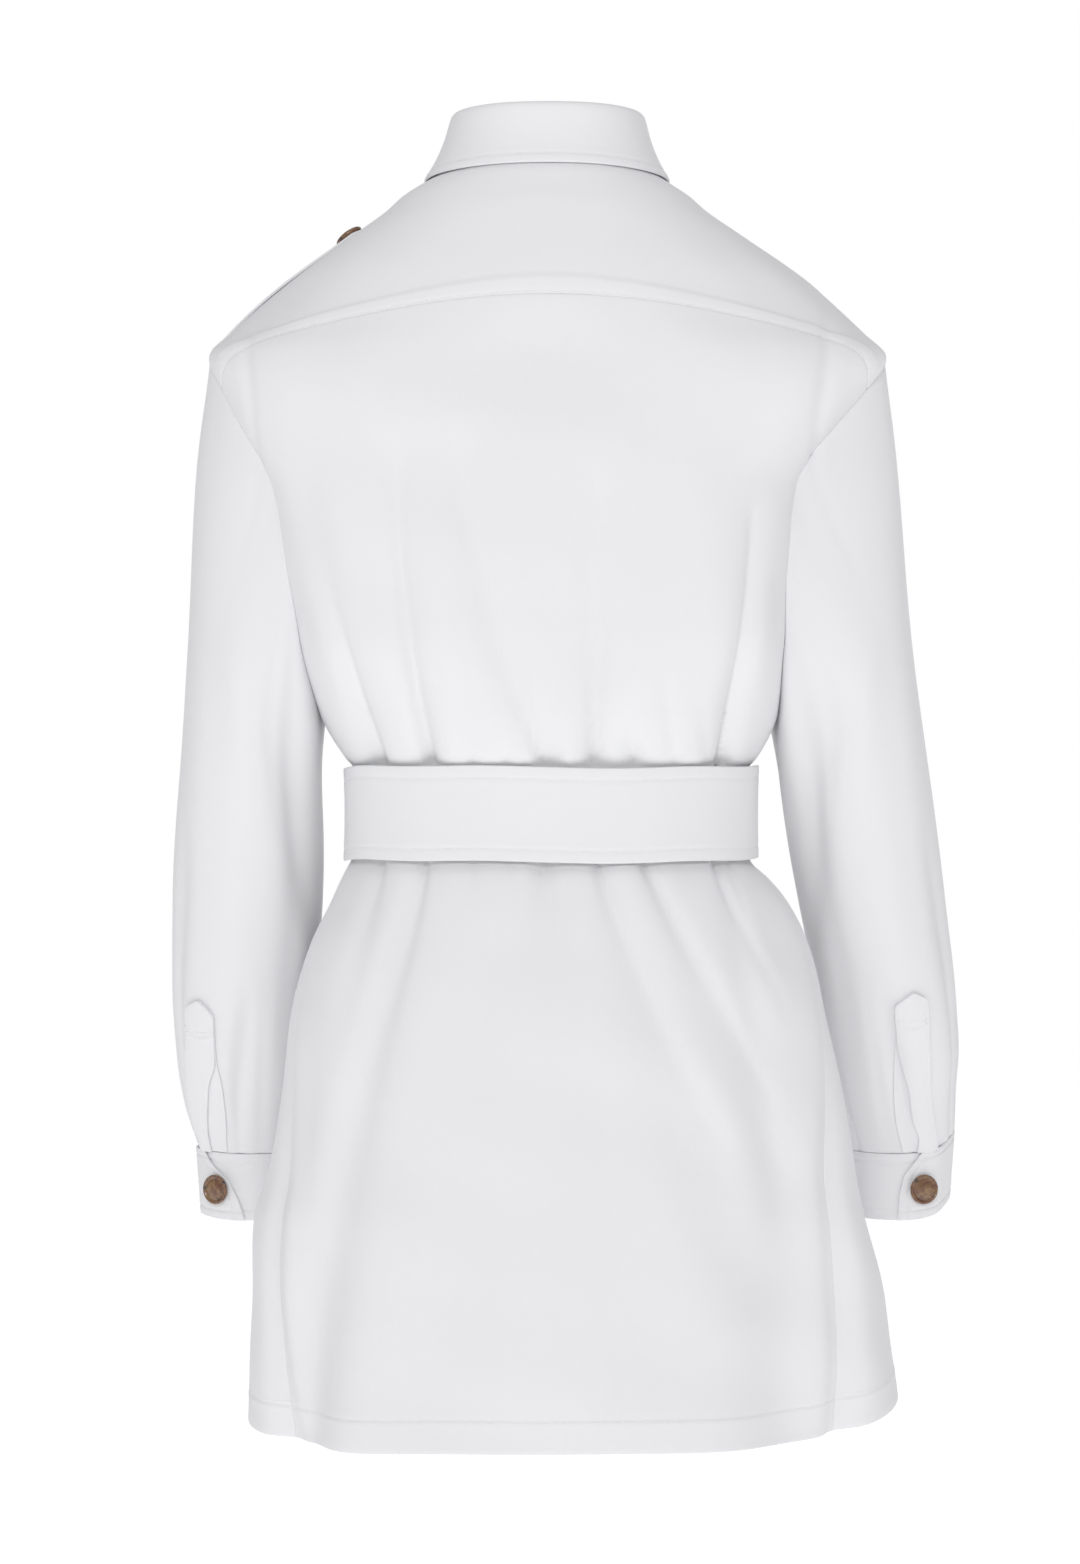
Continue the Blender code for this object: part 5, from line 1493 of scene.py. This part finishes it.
def build_buckle():
    """A rounded frame: an oval of bar section carried round a soft-cornered rectangle."""
    middle = (BELT_TOP + BELT_BOTTOM) / 2
    tall = (BELT_TOP - BELT_BOTTOM) / 2 + BUCKLE_MARGIN + BUCKLE_BAR / 2
    wide = BUCKLE_HALF_WIDTH - BUCKLE_BAR / 2
    place = body(CENTRE_FRONT + BUCKLE_TURN, np.float64(middle), plain=True)
    front = (place[1] - BELT_OUT - BELT_CLOTH - TAIL_OUT - SEAM_GAP - BUCKLE_REST
             - BUCKLE_THICK / 2)
    around, section = np.meshgrid(np.arange(BUCKLE_SIDES) * 2 * math.pi / BUCKLE_SIDES,
                                  np.arange(BAR_SIDES) * 2 * math.pi / BAR_SIDES)
    path_x = np.clip(1.6 * np.cos(around), -1, 1)
    path_z = np.clip(1.6 * np.sin(around), -1, 1)
    across, up = path_x * (wide - BUCKLE_CORNER), path_z * (tall - BUCKLE_CORNER)
    tangent_out = unit(np.stack((np.where(np.abs(path_x) < 1, 0, np.cos(around)),
                                 np.where(np.abs(path_z) < 1, 0, np.sin(around))), axis=-1)
                       + 1e-4 * np.stack((np.cos(around), np.sin(around)), axis=-1))
    bulge = BUCKLE_CORNER + BUCKLE_BAR / 2 * signed_power(np.cos(section), 0.8)
    depth = BUCKLE_THICK / 2 * signed_power(np.sin(section), 0.8)
    points = np.stack((place[0] + across + tangent_out[..., 0] * bulge, front + depth,
                       middle + up + tangent_out[..., 1] * bulge), axis=-1)
    number = np.arange(BAR_SIDES * BUCKLE_SIDES).reshape(BAR_SIDES, BUCKLE_SIDES)
    faces = quads(closed(np.concatenate((number, number[:1]))))[:, FORWARD]
    if signed_volume(points.reshape(-1, 3), faces) < 0:
        faces = np.ascontiguousarray(faces[:, ::-1])
    piece = new_object("buckle", quad_mesh("buckle", points.reshape(-1, 3), faces), horn())
    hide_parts("belt_buckle")


def build_button(name, node, place, normal):
    """A turned button whose back lies at place and whose face looks along normal."""
    profile = through(BUTTON_PROFILE, np.linspace(0, len(BUTTON_PROFILE) - 1, 57))
    profile = profile * np.array((BUTTON_ACROSS / 2, BUTTON_THICK))
    turn = np.arange(BUTTON_SIDES) * 2 * math.pi / BUTTON_SIDES
    first = unit(np.cross(normal, np.array((0.13, 0.21, 0.97))))
    second = np.cross(normal, first)
    radius, rise = np.maximum(profile[1:-1, 0], 0), profile[1:-1, 1]
    spoke = np.cos(turn)[:, None] * first + np.sin(turn)[:, None] * second
    rings = place + radius[:, None, None] * spoke[None] + rise[:, None, None] * normal
    tips = place + profile[[0, -1], 1][:, None] * normal
    points = np.concatenate((rings.reshape(-1, 3), tips)).tolist()
    number = closed(np.arange(rings.shape[0] * BUTTON_SIDES).reshape(-1, BUTTON_SIDES))
    sides = quads(number)
    top, bottom = len(points) - 2, len(points) - 1
    fans = [(top, a, b) for a, b in zip(number[0], number[0][1:])]
    fans += [(bottom, b, a) for a, b in zip(number[-1], number[-1][1:])]
    mesh = bpy.data.meshes.new(name)
    mesh.from_pydata(points, [], sides.tolist() + fans)
    mesh.validate()
    mesh.shade_smooth()
    inside = np.array(points[top]) - place
    centre_normal = np.array(mesh.polygons[len(sides)].normal)
    if float(np.dot(centre_normal, inside)) < 0:
        mesh.flip_normals()
    piece = new_object(name, mesh, horn())
    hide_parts(node)


def build_buttons():
    """Seven front buttons, and one on each epaulette and cuff."""
    for number, level in enumerate(FRONT_BUTTONS, 1):
        height = np.array([level * MM])
        point, normal = body_with_normal(angle_at_x(0 * height, height, -1), height)
        place = point[0] + normal[0] * (SEAM_GAP + CLOTH + BUTTON_SEAT)
        build_button(f"front_button_{number}_turned", f"front_button_{number}", place, normal[0])
    for side, word in SIDES:
        height = np.array([EPAULETTE_BUTTON])
        point, normal = body_with_normal(epaulette_angle(side, 0 * height, height), height)
        place = point[0] + normal[0] * (EPAULETTE_LIFT + CLOTH + 2 * BUTTON_SEAT)
        build_button(f"epaulette_button_{word}_turned", f"epaulette_button_{word}", place,
                     normal[0])
        turn = np.radians(np.float64(CUFF_BUTTONS[side]))
        outer = cuff_outline(side, turn, CUFF_BUTTON_DOWN, CUFF_LAP + 2 * BUTTON_SEAT)
        inner = cuff_outline(side, turn, CUFF_BUTTON_DOWN, 0)
        build_button(f"cuff_button_{word}_turned", f"cuff_button_{word}", outer,
                     unit(outer - inner))


# Stage

def build_floor(stage):
    """A round pale floor, one disc of rings."""
    radius, turn = np.meshgrid(np.linspace(0.02, FLOOR_RADIUS, FLOOR_RINGS),
                               np.arange(FLOOR_SIDES) * 2 * math.pi / FLOOR_SIDES, indexing="ij")
    points = np.stack((radius * np.cos(turn), radius * np.sin(turn), 0 * turn + FLOOR_LEVEL),
                      axis=-1).reshape(-1, 3)
    number = np.arange(FLOOR_RINGS * FLOOR_SIDES).reshape(FLOOR_RINGS, FLOOR_SIDES)
    mesh = quad_mesh("floor", points, quads(closed(number)))
    material, tree, shader = new_material("pale_floor", Roughness=0.8)
    coords = add_node(tree, "ShaderNodeTexCoord")
    cloud = add_node(tree, "ShaderNodeTexNoise", Vector=coords.outputs["Object"], Scale=1.2)
    colour = tuple(stage.floor_colour)
    mix = blend(tree, cloud.outputs["Fac"], tuple(c * 0.99 for c in colour), colour)
    tree.links.new(mix, shader.inputs["Base Color"])
    shader.inputs["Emission Color"].default_value = (1, 1, 1, 1)
    shader.inputs["Emission Strength"].default_value = stage.floor_glow
    mesh.materials.append(material)
    disc = bpy.data.objects.new("floor", mesh)
    bpy.context.scene.collection.objects.link(disc)


def add_light(name, place, size, power):
    """A round area light that looks at the jacket's middle."""
    light = bpy.data.lights.new(name, "AREA")
    light.shape, light.size, light.energy = "DISK", size, power
    lamp = bpy.data.objects.new(name, light)
    lamp.location = place
    away = np.array(place) - np.array(MIDDLE)
    flat = math.hypot(away[0], away[1])
    lamp.rotation_euler = (math.atan2(flat, away[2]), 0, math.atan2(away[1], away[0]) + math.pi / 2)
    bpy.context.scene.collection.objects.link(lamp)


def build_stage(stage):
    """Pale floor, white surroundings, three soft lights and the camera."""
    scene = bpy.context.scene
    scene.view_settings.view_transform = "Standard"
    build_floor(stage)
    world = bpy.data.worlds.new("studio")
    scene.world = world
    world.use_nodes = True
    tree = world.node_tree
    tree.nodes.clear()
    path = add_node(tree, "ShaderNodeLightPath")
    light = add_node(tree, "ShaderNodeBackground", Strength=stage.ambient)
    seen = add_node(tree, "ShaderNodeBackground", Strength=1.0)
    light.inputs[0].default_value = SURROUNDINGS_COLOUR
    seen.inputs[0].default_value = (1, 1, 1, 1)
    mix = add_node(tree, "ShaderNodeMixShader", n0=path.outputs["Is Camera Ray"],
                   n1=light.outputs[0], n2=seen.outputs[0])
    add_node(tree, "ShaderNodeOutputWorld", n0=mix.outputs[0])
    add_light("key", KEY_PLACE, KEY_SIZE, stage.key_power)
    add_light("top", TOP_PLACE, TOP_SIZE, stage.key_power * TOP_SHARE)
    add_light("front_fill", FILL_PLACE, FILL_SIZE, stage.key_power * FILL_SHARE)
    camera = bpy.data.cameras.new("camera")
    camera.lens = CAMERA_LENS
    camera.sensor_width = 36
    camera.clip_end = 50
    eye = bpy.data.objects.new("camera", camera)
    eye.location = CAMERA_PLACE
    eye.rotation_euler = (math.pi / 2, 0, math.pi)
    scene.collection.objects.link(eye)
    scene.camera = eye


# Add-on

class JacketCloth(bpy.types.PropertyGroup):
    """Cloth of the shell and the belt."""
    colour: bpy.props.FloatVectorProperty(
        name="Shell colour", description="Colour of the shell's cloth", subtype="COLOR",
        size=3, default=(0.80, 0.80, 0.81), min=0, max=1)
    belt_colour: bpy.props.FloatVectorProperty(
        name="Belt colour", description="Colour of the belt's cloth", subtype="COLOR",
        size=3, default=(0.812, 0.812, 0.822), min=0, max=1)
    weave_pitch: bpy.props.FloatProperty(
        name="Weave pitch", description="Distance between the weave's threads",
        default=0.0009, unit="LENGTH", precision=5)
    grain: bpy.props.FloatProperty(
        name="Grain", description="How strongly the weave and grain show", default=0.25,
        min=0, max=1, subtype="FACTOR")


class JacketTrim(bpy.types.PropertyGroup):
    """Thread, buttons and buckle."""
    thread_colour: bpy.props.FloatVectorProperty(
        name="Thread colour", description="Colour of the topstitching", subtype="COLOR",
        size=3, default=(0.86, 0.86, 0.87), min=0, max=1)
    horn_base: bpy.props.FloatVectorProperty(
        name="Horn base", description="Main brown of the buttons", subtype="COLOR",
        size=3, default=(0.135, 0.052, 0.028), min=0, max=1)
    horn_light: bpy.props.FloatVectorProperty(
        name="Horn light", description="Paler streaks of the buttons", subtype="COLOR",
        size=3, default=(0.25, 0.145, 0.062), min=0, max=1)
    horn_dark: bpy.props.FloatVectorProperty(
        name="Horn dark", description="Flecks of the buttons", subtype="COLOR",
        size=3, default=(0.014, 0.010, 0.008), min=0, max=1)


class JacketStage(bpy.types.PropertyGroup):
    """Floor and light."""
    floor_colour: bpy.props.FloatVectorProperty(
        name="Floor colour", description="Colour of the floor", subtype="COLOR",
        size=3, default=(0.9, 0.9, 0.9), min=0, max=1)
    floor_glow: bpy.props.FloatProperty(
        name="Floor glow", description="Light that the floor gives itself", default=0.64, min=0)
    ambient: bpy.props.FloatProperty(
        name="Surroundings", description="Light from the white surroundings", default=0.44, min=0)
    key_power: bpy.props.FloatProperty(
        name="Key light", description="Power of the light by the camera", default=37.0, min=0,
        subtype="POWER")


class JacketOperator(bpy.types.Operator):
    """Shared by the jacket's operators: runs the named builders in turn."""
    bl_idname = "jacket.base"
    bl_label = "Jacket piece"
    bl_options = {"REGISTER", "UNDO"}
    builders = ()

    def execute(self, context):
        for build in type(self).builders:
            build()
        return {"FINISHED"}


class JACKET_OT_body(JacketOperator):
    """Back, yoke, both fronts and the front band, with their stitching"""
    bl_idname = "jacket.body"
    bl_label = "Body"
    builders = (build_yoke, build_back, build_fronts, build_front_band)


class JACKET_OT_collar(JacketOperator):
    """Collar band and collar leaf"""
    bl_idname = "jacket.collar"
    bl_label = "Collar"
    builders = (build_collar_band, build_collar_leaf)


class JACKET_OT_sleeves(JacketOperator):
    """Sleeves, the bands of their openings, and cuffs"""
    bl_idname = "jacket.sleeves"
    bl_label = "Sleeves"
    builders = (build_sleeves, build_sleeve_bands, build_cuffs)


class JACKET_OT_epaulettes(JacketOperator):
    """Epaulettes along the tops of the shoulders"""
    bl_idname = "jacket.epaulettes"
    bl_label = "Epaulettes"
    builders = (build_epaulettes,)


class JACKET_OT_belt(JacketOperator):
    """Belt and buckle"""
    bl_idname = "jacket.belt"
    bl_label = "Belt"
    builders = (build_belt, build_buckle)


class JACKET_OT_buttons(JacketOperator):
    """Buttons of the front, the epaulettes and the cuffs"""
    bl_idname = "jacket.buttons"
    bl_label = "Buttons"
    builders = (build_buttons,)


class JACKET_OT_stage(bpy.types.Operator):
    """Floor, light and camera"""
    bl_idname = "jacket.stage"
    bl_label = "Stage"
    bl_options = {"REGISTER", "UNDO"}

    def execute(self, context):
        build_stage(context.scene.jacket_stage)
        return {"FINISHED"}


PIECES = (JACKET_OT_body, JACKET_OT_collar, JACKET_OT_sleeves, JACKET_OT_epaulettes,
          JACKET_OT_belt, JACKET_OT_buttons, JACKET_OT_stage)


class JACKET_PT_panel(bpy.types.Panel):
    """The jacket's pieces and their settings"""
    bl_idname = "JACKET_PT_panel"
    bl_label = "Safari jacket"
    bl_space_type = "VIEW_3D"
    bl_region_type = "UI"
    bl_category = "Jacket"

    def draw(self, context):
        for group in (context.scene.jacket_cloth, context.scene.jacket_trim,
                      context.scene.jacket_stage):
            for name in group.__annotations__:
                self.layout.prop(group, name)
        for piece in PIECES:
            self.layout.operator(piece.bl_idname)


GROUPS = (("jacket_cloth", JacketCloth), ("jacket_trim", JacketTrim), ("jacket_stage", JacketStage))


def register():
    for name, group in GROUPS:
        bpy.utils.register_class(group)
        setattr(bpy.types.Scene, name, bpy.props.PointerProperty(type=group))
    for piece in (*PIECES, JACKET_PT_panel):
        bpy.utils.register_class(piece)


def unregister():
    for piece in reversed((*PIECES, JACKET_PT_panel)):
        bpy.utils.unregister_class(piece)
    for name, group in reversed(GROUPS):
        delattr(bpy.types.Scene, name)
        bpy.utils.unregister_class(group)


def main():
    register()
    bpy.ops.jacket.body()
    bpy.ops.jacket.collar()
    bpy.ops.jacket.sleeves()
    bpy.ops.jacket.epaulettes()
    bpy.ops.jacket.belt()
    bpy.ops.jacket.buttons()
    bpy.ops.jacket.stage()


if __name__ == "__main__":
    main()
